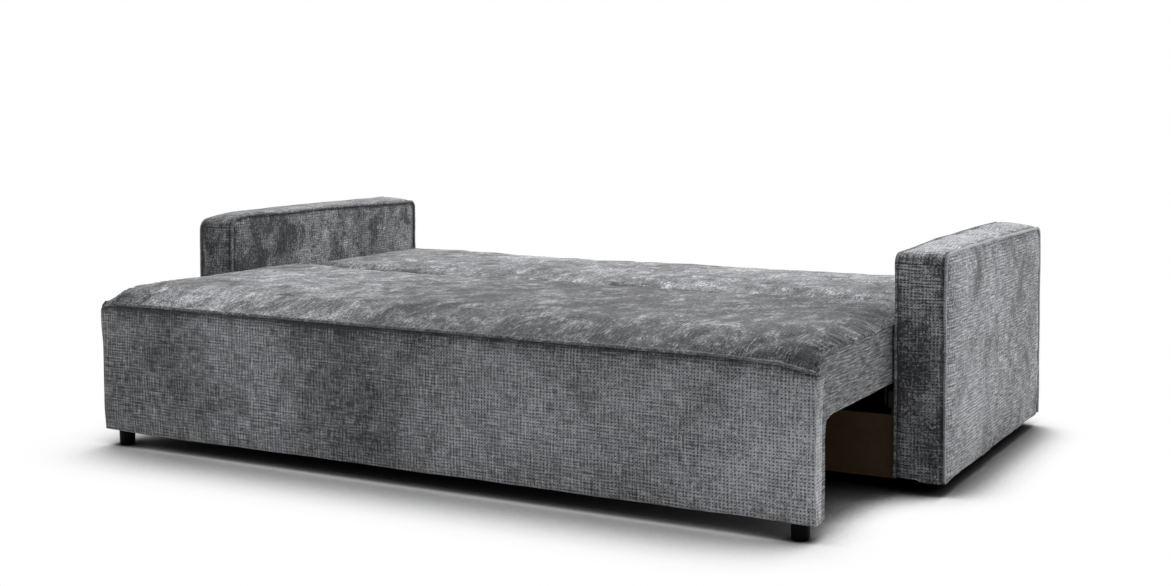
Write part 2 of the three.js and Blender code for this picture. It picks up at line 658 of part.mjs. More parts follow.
// The post inside a cheek carries the front foot
function cheekPost() {
  return block(CHEEK_INNER + SKIN + CLEARANCE, SEAT_BODY_HALF, SEAT_FRAME_FRONT,
    CHEEK_REAR - SKIN - CLEARANCE, SEAT_HEM_HEIGHT + SKIN + CLEARANCE, SEAT_FRAME_BOTTOM - CLEARANCE);
}

// Lining under the seat, turned up behind it
function seatLining() {
  const half = CHEEK_INNER - CLEARANCE;
  const bottom = block(-half, half, SEAT_FRAME_FRONT, SEAT_FRAME_REAR + CLEARANCE + SHEET,
    SEAT_FRAME_BOTTOM - CLEARANCE - SHEET, SEAT_FRAME_BOTTOM - CLEARANCE);
  const rear = block(-half, half, SEAT_FRAME_REAR + CLEARANCE, SEAT_FRAME_REAR + CLEARANCE + SHEET,
    SEAT_FRAME_BOTTOM - CLEARANCE - SHEET, SEAT_SEAM_HEIGHT - CLEARANCE);
  return join(bottom, rear);
}

// A carriage: a plate on the seat rail with two axles below it and the hinge lug behind
function carriage() {
  const low = AXLE_Z - ROLLER_RADIUS;
  const high = AXLE_Z + ROLLER_RADIUS + SHEET;
  const front = rollerPlaces.front - 2 * LUG_RADIUS;
  const lug = HINGE_Y + LUG_RADIUS;
  const rear = SEAT_FRAME_REAR - SEAT_RAIL - CLEARANCE;
  const shape = outline([
    [front, low], [lug, low],
    ...lugCap(),
    [HINGE_Y - LUG_RADIUS, high], [rear, high], [rear, SEAT_DECK - PLATE],
    [front + LUG_RADIUS, SEAT_DECK - PLATE], [front, SEAT_FRAME_BOTTOM],
  ]);
  const plate = alongX(shape, CARRIAGE_INNER, CARRIAGE_OUTER);
  const bore = barX(PIN_RADIUS + CLEARANCE, CARRIAGE_INNER - OVERRUN, CARRIAGE_OUTER + OVERRUN,
    HINGE_Y, HINGE_Z);
  const axles = Object.values(rollerPlaces).map((y) => barX(AXLE_RADIUS, CARRIAGE_OUTER - PLATE / 2,
    ROLLER_OUTER, y, AXLE_Z));
  const shoulders = Object.values(rollerPlaces).map((y) => barX(AXLE_RADIUS * 2, CARRIAGE_OUTER - PLATE / 2,
    ROLLER_INNER - CLEARANCE, y, AXLE_Z));
  return join(cut(plate, bore), ...axles, ...shoulders);
}

function lugCap() {
  const points = [];
  for (let i = 0; i <= 2 * ARC_STEPS; i += 1) {
    const angle = (Math.PI * i) / (2 * ARC_STEPS);
    points.push([HINGE_Y + LUG_RADIUS * Math.cos(angle), HINGE_Z + LUG_RADIUS * Math.sin(angle)]);
  }
  return points;
}

// A roller: a crowned wheel with a bore for its axle
function roller(y) {
  const half = ROLLER_WIDTH / 2;
  const bore = AXLE_RADIUS + CLEARANCE;
  const profile = [[bore, -half], [ROLLER_RADIUS - ROLLER_TREAD, -half], [ROLLER_RADIUS, -half / 2],
    [ROLLER_RADIUS, half / 2], [ROLLER_RADIUS - ROLLER_TREAD, half], [bore, half], [bore, -half]];
  const geometry = new THREE.LatheGeometry(profile.map(([r, v]) => new THREE.Vector2(r, v)), ROUND_SIDES);
  geometry.rotateZ(Math.PI / 2);
  return geometry.translate(ROLLER_INNER + half, y, AXLE_Z);
}

// Backrest: the cover is a crowned pad, rebated at both ends for the hinges and links
// and hollow below for the frame and the foam
function backCushion() {
  const radius = BACK_EDGE_RADIUS;
  const lower = [];
  for (let i = 0; i < PAD_STEPS; i += 1) {
    const turn = (Math.PI / 2) * (i / PAD_STEPS);
    lower.push([radius * (1 - Math.sin(turn)), BACK_UNDERSIDE + radius * (1 - Math.cos(turn))]);
  }
  const pad = crownedPad({
    halfX: SEAT_HALF, front: BACK_FRONT, rear: BACK_REAR, corner: SEAT_CORNER_RADIUS,
    foot: [...lower, [0, BACK_UNDERSIDE + radius]],
    edgeZ: BACK_TOP - radius, edgeReach: radius, edgeRise: radius,
    crown: BACK_CROWN, crownReach: BACK_CROWN_REACH,
  });
  const rebate = (from, to) => block(from, to, BACK_FRONT - OVERRUN, BACK_REAR + OVERRUN,
    BACK_UNDERSIDE - OVERRUN, BACK_HOLLOW_TOP);
  const hollow = block(-BACK_FRAME_HALF - CLEARANCE, BACK_FRAME_HALF + CLEARANCE,
    BACK_FRONT + BACK_EDGE_ROLL, BACK_REAR - BACK_EDGE_ROLL, BACK_UNDERSIDE - OVERRUN, BACK_HOLLOW_TOP);
  const right = rebate(BACK_BODY_HALF, SEAT_HALF + OVERRUN);
  const left = rebate(-SEAT_HALF - OVERRUN, -BACK_BODY_HALF);
  return cut(pad, right, left, hollow);
}

const BACK_INNER_FRONT = BACK_FRONT + BACK_EDGE_ROLL + CLEARANCE;
const BACK_INNER_REAR = BACK_REAR - BACK_EDGE_ROLL - CLEARANCE;

function backFrame() {
  return lattice(BACK_FRAME_HALF, BACK_INNER_FRONT, BACK_INNER_REAR, BACK_FRAME_BOTTOM, BACK_DECK,
    BACK_WINDOWS, 1, SEAT_RAIL, SEAT_RAIL);
}

function backWebbing() {
  return lattice(BACK_FRAME_HALF, BACK_INNER_FRONT, BACK_INNER_REAR,
    BACK_DECK + CLEARANCE, BACK_DECK + CLEARANCE + SHEET,
    BACK_STRAPS_ACROSS, BACK_STRAPS_ALONG, WEBBING, SEAT_RAIL);
}

function backFoam() {
  return block(-BACK_FRAME_HALF, BACK_FRAME_HALF, BACK_INNER_FRONT, BACK_INNER_REAR,
    BACK_DECK + 2 * CLEARANCE + SHEET, BACK_HOLLOW_TOP - CLEARANCE);
}

function backLining() {
  return block(-BACK_FRAME_HALF, BACK_FRAME_HALF, BACK_INNER_FRONT, BACK_INNER_REAR,
    BACK_FRAME_BOTTOM - CLEARANCE - SHEET, BACK_FRAME_BOTTOM - CLEARANCE);
}

// The hinge plate on the backrest's end: it carries the hinge pin and the link's pin
function backBracket() {
  const margin = LUG_RADIUS;
  const top = HINGE_Z + LINK_RISE + margin;
  const shape = outline([
    [HINGE_Y - margin, HINGE_Z - margin], [HINGE_Y, HINGE_Z - 2 * margin],
    [HINGE_Y + LINK_ARM + margin, HINGE_Z - 2 * margin], [HINGE_Y + LINK_ARM + 2 * margin, HINGE_Z - margin],
    [HINGE_Y + LINK_ARM + 2 * margin, top - margin], [HINGE_Y + LINK_ARM + margin, top],
    [HINGE_Y, top], [HINGE_Y - margin, top - margin],
  ]);
  const plate = alongX(shape, BRACKET_INNER, BRACKET_OUTER);
  const boss = barX(LINK_HALF_WIDTH, BRACKET_OUTER - PLATE / 2, CARRIAGE_INNER - CLEARANCE, HINGE_Y, HINGE_Z);
  const pin = barX(PIN_RADIUS, BRACKET_OUTER, CARRIAGE_OUTER + SHEET / 2, HINGE_Y, HINGE_Z);
  const linkPin = barX(PIN_RADIUS, BRACKET_OUTER - PLATE / 2, LINK_INNER - CLEARANCE,
    LINK_START.x, LINK_START.y);
  return join(plate, boss, pin, linkPin);
}

// Materials
const fabric = { color: 0x6f7173, roughness: 0.9, metalness: 0 };
const welt = { color: 0x5c5e61, roughness: 0.9, metalness: 0 };
const timber = { color: 0xb99a6b, roughness: 0.8, metalness: 0 };
const fibreboard = { color: 0x4a3a22, roughness: 0.85, metalness: 0 };
const lining = { color: 0x1b1b1c, roughness: 0.95, metalness: 0 };
const foam = { color: 0xd9cf9a, roughness: 0.95, metalness: 0 };
const webbing = { color: 0x2c2d30, roughness: 0.9, metalness: 0 };
const steel = { color: 0x8f9397, roughness: 0.4, metalness: 0.9 };
const blackPlastic = { color: 0x141415, roughness: 0.45, metalness: 0 };

const sofa = new THREE.Group();
const pieces = new THREE.Group();
sofa.add(pieces);

function add(name, geometry, finish) {
  const mesh = new THREE.Mesh(geometry, new THREE.MeshStandardMaterial(finish));
  mesh.name = name;
  pieces.add(mesh);
}

// A piece on the right and its mirror image on the left
function addPair(name, geometry, finish, ending = '') {
  add(`${name}_right${ending}`, geometry, finish);
  add(`${name}_left${ending}`, mirrored(geometry), finish);
}

function addArms() {
  addPair('arm_frame', armFrame(), timber);
  addPair('arm_cover', armCover(), fabric);
  addPair('arm_piping', armPiping(1), welt, '_outer');
  addPair('arm_piping', armPiping(-1), welt, '_inner');
  const footTop = ARM_FRAME_BOTTOM - CLEARANCE;
  addPair('arm_foot', foot(ARM_CENTRE, ARM_FOOT_SETBACK, footTop), blackPlastic, '_front');
  addPair('arm_foot', foot(ARM_CENTRE, ARM_DEPTH - ARM_FOOT_SETBACK, footTop), blackPlastic, '_rear');
  const [front, rear] = armBoltPlaces();
  addPair('arm_bolt', armBolt(front), steel, '_front');
  addPair('arm_bolt', armBolt(rear), steel, '_rear');
}

function addBase() {
  add('base_front_board', baseFrontBoard(), fibreboard);
  add('base_rear_board', baseRearBoard(), fibreboard);
  addPair('base_side_board', baseSideBoard(), fibreboard);
  add('base_floor_panel', baseFloorPanel(), fibreboard);
  add('back_rest_strip', restStrip(), timber);
  addPair('runner', runner(), steel);
  addPair('link_bracket', linkBracket(), steel);
}

function addSeat() {
  add('seat_frame', seatFrame(), timber);
  add('seat_webbing', seatWebbing(), webbing);
  add('seat_foam', seatFoam(), foam);
  add('seat_cushion', seatCushion(), fabric);
  add('front_panel_board', frontPanelBoard(), fibreboard);
  add('front_panel_cover', frontPanelCover(), fabric);
  add('seat_piping', seatPiping(), welt);
  addPair('seat_side_cover', seatSideCover(), fabric);
  addPair('cheek_post', cheekPost(), timber);
  addPair('seat_foot', foot(SEAT_HALF - SEAT_FOOT_SETBACK, SEAT_FRONT + CHEEK_DEPTH / 2,
    SEAT_HEM_HEIGHT + SKIN), blackPlastic);
  add('seat_lining', seatLining(), lining);
  addPair('carriage', carriage(), steel);
  addPair('roller', roller(rollerPlaces.front), blackPlastic, '_front');
  addPair('roller', roller(rollerPlaces.rear), blackPlastic, '_rear');
}

function addBack() {
  add('back_frame', backFrame(), timber);
  add('back_webbing', backWebbing(), webbing);
  add('back_foam', backFoam(), foam);
  add('back_cushion', backCushion(), fabric);
  add('back_lining', backLining(), lining);
  addPair('back_bracket', backBracket(), steel);
  addPair('link', link(), steel);
}

addArms();
addBase();
addSeat();
addBack();

// The origin lies on the floor below the middle of the sofa shown as a bed
const extent = new THREE.Box3().setFromObject(pieces);
pieces.position.y = -(extent.min.y + extent.max.y) / 2;

export default sofa;
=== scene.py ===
import json
import math
from contextlib import contextmanager

import bpy
import numpy as np
from bpy.props import FloatProperty, FloatVectorProperty, IntProperty, PointerProperty
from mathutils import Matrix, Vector


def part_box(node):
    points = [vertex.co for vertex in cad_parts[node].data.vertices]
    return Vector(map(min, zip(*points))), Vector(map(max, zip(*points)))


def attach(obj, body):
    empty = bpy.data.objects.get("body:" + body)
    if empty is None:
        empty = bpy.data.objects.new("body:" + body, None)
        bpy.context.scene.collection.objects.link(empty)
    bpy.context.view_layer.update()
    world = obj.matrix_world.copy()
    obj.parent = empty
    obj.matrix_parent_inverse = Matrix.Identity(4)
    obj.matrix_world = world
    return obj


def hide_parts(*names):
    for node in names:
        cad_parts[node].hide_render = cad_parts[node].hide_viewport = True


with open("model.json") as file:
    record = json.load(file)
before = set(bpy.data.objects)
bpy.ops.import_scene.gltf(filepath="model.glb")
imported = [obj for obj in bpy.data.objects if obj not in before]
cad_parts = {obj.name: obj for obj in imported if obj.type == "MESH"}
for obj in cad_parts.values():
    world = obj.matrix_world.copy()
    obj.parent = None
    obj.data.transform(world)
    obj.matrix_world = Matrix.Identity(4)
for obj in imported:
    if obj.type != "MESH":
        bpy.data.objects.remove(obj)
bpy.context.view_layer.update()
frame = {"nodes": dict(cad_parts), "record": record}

bl_info = {
    "name": "Sleeper Sofa",
    "version": (1, 0, 0),
    "blender": (4, 5, 0),
    "location": "View3D > Sidebar > Sofa",
    "description": "Upholstery, piping, feet and finishes of a sleeper sofa that is pulled out as a bed",
    "category": "Add Mesh",
}

TAU = 2 * math.pi

# Corners of the solids that the upholstery is made over
ARM_LOW, ARM_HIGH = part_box("arm_cover_right")
SEAT_LOW, SEAT_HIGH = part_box("seat_cushion")
FRONT_LOW, FRONT_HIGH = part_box("front_panel_cover")
SIDE_LOW, SIDE_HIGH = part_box("seat_side_cover_right")
BACK_LOW, BACK_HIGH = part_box("back_cushion")
LINING_LOW, LINING_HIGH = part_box("back_lining")
POST_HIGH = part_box("cheek_post_right")[1]
FOAM_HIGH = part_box("back_foam")[1]

SIDES = {"left": -1, "right": 1}

# Points nearer to a border than this are on it
ON_BORDER = 1e-5
ARM_CLOTH = 0.0022
PANEL_CLOTH = 0.0024


def length(name, default, description):
    return FloatProperty(name=name, description=description, default=default, unit="LENGTH")


def tone(name, default, description):
    return FloatVectorProperty(name=name, description=description, default=default, subtype="COLOR")


class SofaSizes(bpy.types.PropertyGroup):
    cell: length("Cloth cell", 0.014, "Spacing of the cloth's points")
    piping: length("Piping radius", 0.004, "Radius of the piping")
    front_radius: length("Arm front radius", 0.028, "Rounding of an arm's top front corner")
    rear_radius: length("Arm rear radius", 0.025, "Rounding of an arm's top rear corner")
    seam_dip: length("Seam dip", 0.0055, "How deep an arm's covers pull in at the piping")
    seat_rise: length("Seat rise", 0.037, "Height of the seat's crown above its front seam")
    front_reach: length("Front reach", 0.20, "Depth over which the seat rounds down to its front seam")
    side_reach: length("Side reach", 0.085, "Width over which the seat rounds down to its ends")
    gather: length("Gather height", 0.0022, "Height of the small gathers along the seat's seams")
    back_radius: length("Backrest radius", 0.034, "Rounding of the backrest's long edges")
    cheek_radius: length("Cheek radius", 0.030, "Rounding where the seat's side turns down to the foot")
    settle_frames: IntProperty(
        name="Settling steps", description="Steps in which the cloth comes to rest", default=20, min=1)


class SofaColours(bpy.types.PropertyGroup):
    nap_dark: tone("Crushed nap", (0.026, 0.0265, 0.028), "Chenille crushed away from the eye")
    nap_middle: tone("Plain nap", (0.120, 0.1215, 0.127), "Chenille where the nap lies plain")
    nap_light: tone("Raised nap", (0.30, 0.305, 0.315), "Chenille threads that catch the light")
    board: tone("Board", (0.075, 0.045, 0.020), "Brown fibreboard of the base")
    foot: tone("Foot", (0.0022, 0.0022, 0.0025), "Black plastic of the feet")


def chosen_sizes():
    return bpy.context.scene.sofa_sizes


# Selection and plain mesh helpers

def deselect():
    if bpy.context.mode != "OBJECT":
        bpy.ops.object.mode_set(mode="OBJECT")
    bpy.ops.object.select_all(action="DESELECT")


def activate(piece):
    deselect()
    piece.select_set(True)
    bpy.context.view_layer.objects.active = piece


def settle_transform(piece):
    activate(piece)
    bpy.ops.object.transform_apply(location=True, rotation=True, scale=True)


def columns(*values):
    return np.stack(values, axis=1)


def read(items, key, width=1, kind=float):
    """A value of every item of a mesh, with a row for each item where it has a width."""
    values = np.empty(len(items) * width, kind)
    items.foreach_get(key, values)
    return values.reshape(-1, width) if width > 1 else values


def points_of(piece):
    return read(piece.data.vertices, "co", 3)


def centres_of(piece):
    return read(piece.data.polygons, "center", 3)


def normals_of(piece):
    return read(piece.data.polygons, "normal", 3)


def place_points(piece, points):
    piece.data.vertices.foreach_set("co", np.ascontiguousarray(points).ravel())
    piece.data.update()


@contextmanager
def picked(piece, kind="polygons", chosen=True):
    """Edit mode with only the chosen edges or faces of a piece selected."""
    activate(piece)
    kinds = ("vertices", "edges", "polygons")
    bpy.context.tool_settings.mesh_select_mode = [each == kind for each in kinds]
    for each in kinds:
        items = getattr(piece.data, each)
        select = np.zeros(len(items), bool)
        select[:] = chosen if each == kind else False
        items.foreach_set("select", select)
    bpy.ops.object.mode_set(mode="EDIT")
    yield
    bpy.ops.object.mode_set(mode="OBJECT")


def open_border(piece):
    """True for each edge that has only one face."""
    loops = read(piece.data.loops, "edge_index", kind=int)
    return np.bincount(loops, minlength=len(piece.data.edges)) == 1


def edge_ends(piece):
    return read(piece.data.edges, "vertices", 2, int)


def open_border_points(piece):
    marked = np.zeros(len(piece.data.vertices), bool)
    marked[np.unique(edge_ends(piece)[open_border(piece)])] = True
    return marked


def flat_sheet(name, width, height, cell):
    """A sheet of square cells in X and Y with its corner at the origin."""
    deselect()
    bpy.ops.mesh.primitive_grid_add(
        x_subdivisions=max(1, round(width / cell)), y_subdivisions=max(1, round(height / cell)),
        size=1, location=(width / 2, height / 2, 0))
    piece = bpy.context.object
    piece.name = name
    piece.data.name = name
    piece.scale = (width, height, 1)
    settle_transform(piece)
    return piece


def crowd_edges(piece, cell):
    """Draws the first rows of a flat sheet towards its border, where the seams need finer cells."""
    points = points_of(piece)
    for axis in (0, 1):
        span = points[:, axis].max()
        from_edge = np.minimum(points[:, axis], span - points[:, axis])
        drawn = np.interp(from_edge, (0, cell, 2 * cell, 3 * cell), (0, 0.3 * cell, 1.1 * cell, 2.6 * cell))
        moved = np.where(points[:, axis] < span / 2, drawn, span - drawn)
        points[:, axis] = np.where(from_edge < 3 * cell, moved, points[:, axis])
    place_points(piece, points)


def fine_sheet(name, width, height):
    """A flat sheet with the cloth's cells, which are finer along its border."""
    cell = chosen_sizes().cell
    piece = flat_sheet(name, width, height, cell)
    crowd_edges(piece, cell)
    return piece


def thicken(piece, steps):
    """Extrudes the whole sheet upwards in steps, which leaves a closed box of cells."""
    with picked(piece):
        for step in steps:
            bpy.ops.mesh.extrude_region_move(TRANSFORM_OT_translate={"value": (0, 0, step)})
        bpy.ops.mesh.select_all(action="SELECT")
        bpy.ops.mesh.normals_make_consistent(inside=False)


def face_outwards(piece):
    with picked(piece):
        bpy.ops.mesh.normals_make_consistent(inside=False)


def face_towards(piece, axis, sign):
    """Turns over a sheet whose faces look the wrong way along an axis."""
    if normals_of(piece)[:, axis].mean() * sign < 0:
        with picked(piece):
            bpy.ops.mesh.flip_normals()


def finish_modifier(piece, kind, **settings):
    activate(piece)
    modifier = piece.modifiers.new(kind.title(), kind)
    for key, value in settings.items():
        setattr(modifier, key, value)
    bpy.ops.object.modifier_apply(modifier=modifier.name)


def refine(piece):
    finish_modifier(
        piece, "SUBSURF", levels=1, render_levels=1, subdivision_type="CATMULL_CLARK",
        boundary_smooth="PRESERVE_CORNERS")


def break_edges(piece, width, segments, angle):
    finish_modifier(
        piece, "BEVEL", width=width, segments=segments, limit_method="ANGLE", angle_limit=math.radians(angle))


def smooth(piece, angle):
    activate(piece)
    bpy.ops.object.shade_smooth_by_angle(angle=math.radians(angle))


# Shapes of cloth

def ripple(points, size, seed, waves=9):
    """Smooth irregular field between about -1 and 1 over points, with features of a size."""
    rng = np.random.default_rng(seed)
    total = np.zeros(len(points))
    for _ in range(waves):
        direction = rng.normal(size=points.shape[1])
        direction /= np.linalg.norm(direction)
        rate = TAU / (size * rng.uniform(0.7, 1.9))
        total += np.cos(points @ direction * rate + rng.uniform(0, TAU))
    return total / math.sqrt(waves * 1.5)


def ripple_along(line, size, seed):
    """The same field over places along one line."""
    return ripple(columns(line, line * 0), size, seed)


def fade(distance, reach):
    """1 at a seam, falling smoothly to 0 at a reach from it."""
    share = np.clip(1 - distance / reach, 0, 1)
    return share * share * (3 - 2 * share)


def rise(distance, reach, power=2.0):
    """0 at a seam, rising in a round shoulder to 1 at a reach from it."""
    return 1 - np.clip(1 - distance / reach, 0, 1) ** power


def round_corners(u, v, radius, *corners):
    """Draws points near square corners (u, v) of a panel that starts at 0 into quarter discs."""
    for corner_u, corner_v in corners:
        sign_u, sign_v = (1 if place > 0 else -1 for place in (corner_u, corner_v))
        centre_u, centre_v = corner_u - sign_u * radius, corner_v - sign_v * radius
        across = (u - centre_u) * sign_u / radius
        along = (v - centre_v) * sign_v / radius
        inside = (across > 0) & (along > 0)
        a, b = np.clip(across, 0, 1), np.clip(along, 0, 1)
        new_u = centre_u + sign_u * radius * a * np.sqrt(1 - b * b / 2)
        new_v = centre_v + sign_v * radius * b * np.sqrt(1 - a * a / 2)
        u, v = np.where(inside, new_u, u), np.where(inside, new_v, v)
    return u, v


CLOTH_SETTINGS = {
    "quality": 4, "mass": 0.3, "tension_stiffness": 25, "compression_stiffness": 25, "shear_stiffness": 8,
    "bending_stiffness": 0.6, "vertex_group_mass": "held", "use_pressure": True,
}
# Push of the padding, slack of the cloth and how far it may move, for the tops of seat and backrest
TOP_SETTLING = {"pressure": 1.2, "slack": 0.010, "limit": 0.004}


def settle_as_cloth(piece, held, pressure, slack, limit):
    """Lets the cover settle under the push of its padding; held points stay at their seams."""
    before = points_of(piece)
    group = piece.vertex_groups.new(name="held")
    group.add([int(i) for i in np.flatnonzero(held)], 1.0, "REPLACE")
    activate(piece)
    modifier = piece.modifiers.new("Cover", "CLOTH")
    cloth = modifier.settings
    for key, value in CLOTH_SETTINGS.items():
        setattr(cloth, key, value)
    cloth.shrink_min = -slack
    cloth.uniform_pressure_force = pressure
    cloth.effector_weights.gravity = 0
    modifier.collision_settings.use_collision = False
    scene = bpy.context.scene
    for step in range(1, chosen_sizes().settle_frames + 1):
        scene.frame_set(step)
    activate(piece)
    bpy.ops.object.modifier_apply(modifier="Cover")
    scene.frame_set(1)
    piece.vertex_groups.clear()
    moved = points_of(piece) - before
    distance = np.linalg.norm(moved, axis=1)
    allowed = np.broadcast_to(limit, distance.shape)
    factor = np.where(distance > 1e-9, allowed * np.tanh(distance / np.maximum(allowed, 1e-6)), 0)
    factor = factor / np.maximum(distance, 1e-9)
    place_points(piece, before + moved * factor[:, None])


def beside(distance, start, reach):
    """1 on a seam and close to it, falling in a line to 0 at start times the reach."""
    return np.clip(start - distance / reach, 0, 1)


def mark_crease(piece, mask):
    """Marks the points on a seam, beside which the cloth lies in its own shadow."""
    layer = piece.data.attributes.new("crease", "FLOAT", "POINT")
    layer.data.foreach_set("value", np.asarray(mask, np.float32))


def lay_weave(piece):
    """UVs in metres that follow each face's own plane, so that the weave keeps its size."""
    mesh = piece.data
    while mesh.uv_layers:
        mesh.uv_layers.remove(mesh.uv_layers[0])
    layer = mesh.uv_layers.new(name="weave")
    corners = read(mesh.loops, "vertex_index", kind=int)
    totals = read(mesh.polygons, "loop_total", kind=int)
    facing = np.repeat(np.argmax(np.abs(normals_of(piece)), axis=1), totals)
    points = points_of(piece)[corners]
    across = np.where(facing == 0, points[:, 1], points[:, 0])
    along = np.where(facing == 2, points[:, 1], points[:, 2])
    layer.data.foreach_set("uv", columns(across, along).astype(np.float32).ravel())


def put_finish(piece, finish):
    piece.data.materials.clear()
    piece.data.materials.append(bpy.data.materials[finish])


def dress(piece, finish, body, node):
    """Gives a piece its finish and its body, and hides the solid that it stands for."""
    put_finish(piece, finish)
    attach(piece, body)
    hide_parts(node)


def dress_cover(piece, finish, body, node, angle, cloth=None):
    """Finishes a padded cover, with smooth shading across folds up to an angle. An open cover
    first gets the thickness of its cloth."""
    if cloth:
        finish_modifier(piece, "SOLIDIFY", thickness=cloth, offset=-1)
    lay_weave(piece)
    smooth(piece, angle)
    dress(piece, finish, body, node)


def make_welt(name, path, finish, body, node):
    """A round length of piping along a path of points."""
    deselect()
    curve = bpy.data.curves.new(name, "CURVE")
    curve.dimensions = "3D"
    curve.bevel_depth = chosen_sizes().piping
    curve.bevel_resolution = 3
    curve.use_fill_caps = True
    line = curve.splines.new("POLY")
    line.points.add(len(path) - 1)
    for point, place in zip(line.points, path):
        point.co = (*place, 1)
    piece = bpy.data.objects.new(name, curve)
    bpy.context.scene.collection.objects.link(piece)
    activate(piece)
    bpy.ops.object.convert(target="MESH")
    piece = bpy.context.object
    with picked(piece):
        bpy.ops.mesh.remove_doubles(threshold=ON_BORDER)
        bpy.ops.mesh.normals_make_consistent(inside=False)
    smooth(piece, 50)
    lay_weave(piece)
    dress(piece, finish, body, node)


# Finishes

def scaled(colour, factor):
    return tuple(c * factor for c in colour)


class Nodes:
    """Builds a node tree: add makes a node, fills its sockets and returns one of its outputs."""

    def __init__(self, owner):
        owner.use_nodes = True
        self.tree = owner.node_tree

    def add(self, kind, inputs=(), output=0, **settings):
        node = self.tree.nodes.new(kind)
        for key, value in settings.items():
            setattr(node, key, value)
        for key, value in dict(inputs).items():
            self.fill(node.inputs[key], value)
        return node.outputs[output]

    def fill(self, socket, value):
        if isinstance(value, bpy.types.NodeSocket):
            self.tree.links.new(value, socket)
        else:
            socket.default_value = value

    def maths(self, operation, *values):
        return self.add("ShaderNodeMath", dict(enumerate(values)), operation=operation)

    def plus(self, a, b):
        return self.maths("ADD", a, b)

    def minus(self, a, b):
        return self.maths("SUBTRACT", a, b)

    def times(self, a, b):
        return self.maths("MULTIPLY", a, b)

    def times_plus(self, a, b, c):
        return self.maths("MULTIPLY_ADD", a, b, c)

    def map_range(self, value, low, high, new_low=0.0, new_high=1.0, smooth_step=False):
        return self.add(
            "ShaderNodeMapRange",
            {"Value": value, "From Min": low, "From Max": high, "To Min": new_low, "To Max": new_high},
            interpolation_type="SMOOTHSTEP" if smooth_step else "LINEAR")

    def seen_directly(self):
        """1 for camera, glossy and transmitted rays, 0 for the light that falls on things."""
        path = self.add("ShaderNodeLightPath").node.outputs
        either = self.maths("MAXIMUM", path["Is Camera Ray"], path["Is Glossy Ray"])
        return self.maths("MAXIMUM", either, path["Is Transmission Ray"])

    def mix_into(self, kind, share, first, second):
        """Ends the tree in an output node that shows a mix of two shaders."""
        mix = self.add("ShaderNodeMixShader", {0: share, 1: first, 2: second})
        self.tree.links.new(mix, self.tree.nodes.new(kind).inputs["Surface"])


class Finish(Nodes):
    """A material of one principled shader, with solid for its object's own coordinates."""

    def __init__(self, name):
        self.material = bpy.data.materials.new(name)
        super().__init__(self.material)
        self.shader = self.tree.nodes["Principled BSDF"]
        self.solid = self.add("ShaderNodeTexCoord", output=3)

    def stretched(self, rate, source=None, offset=(0, 0, 0)):
        source = self.solid if source is None else source
        return self.add("ShaderNodeMapping", {"Vector": source, "Location": offset, "Scale": rate})

    def noise(self, rate, detail, roughness=0.5, source=None, offset=(0, 0, 0), scale=1.0, distortion=0.0):
        """Noise with as many features in a metre of each axis as the rate says, times the scale."""
        return self.add("ShaderNodeTexNoise", {
            "Vector": self.stretched(rate, source, offset), "Scale": scale, "Detail": detail,
            "Roughness": roughness, "Distortion": distortion})

    def ramp(self, value, *stops):
        output = self.add("ShaderNodeValToRGB", {"Fac": value})
        ramp = output.node.color_ramp
        while len(ramp.elements) < len(stops):
            ramp.elements.new(0.5)
        for element, (place, colour) in zip(ramp.elements, stops):
            element.position = place
            element.color = (*colour, 1)
        return output

    def bump(self, height, strength, distance):
        return self.add("ShaderNodeBump", {"Height": height, "Strength": strength, "Distance": distance})

    def surface(self, **values):
        for key, value in values.items():
            self.fill(self.shader.inputs[key.replace("_", " ").title().replace("Ior", "IOR")], value)


# Chenille: spacing of the weave's holes, threads in a metre, and how strongly each feature shades
HOLE_SPACING = (0.0087, 0.0075)
THREAD_RATE = 270
PLAIN_SHADE = 0.53
THREAD_SHADE = 1.15
HOLE_SHADE = -0.80
CORD_SHADE = 0.07
# Depth of the shade painted beside the seams
CREASE_SHADE = -0.55
MIDDLE_NAP = 0.45


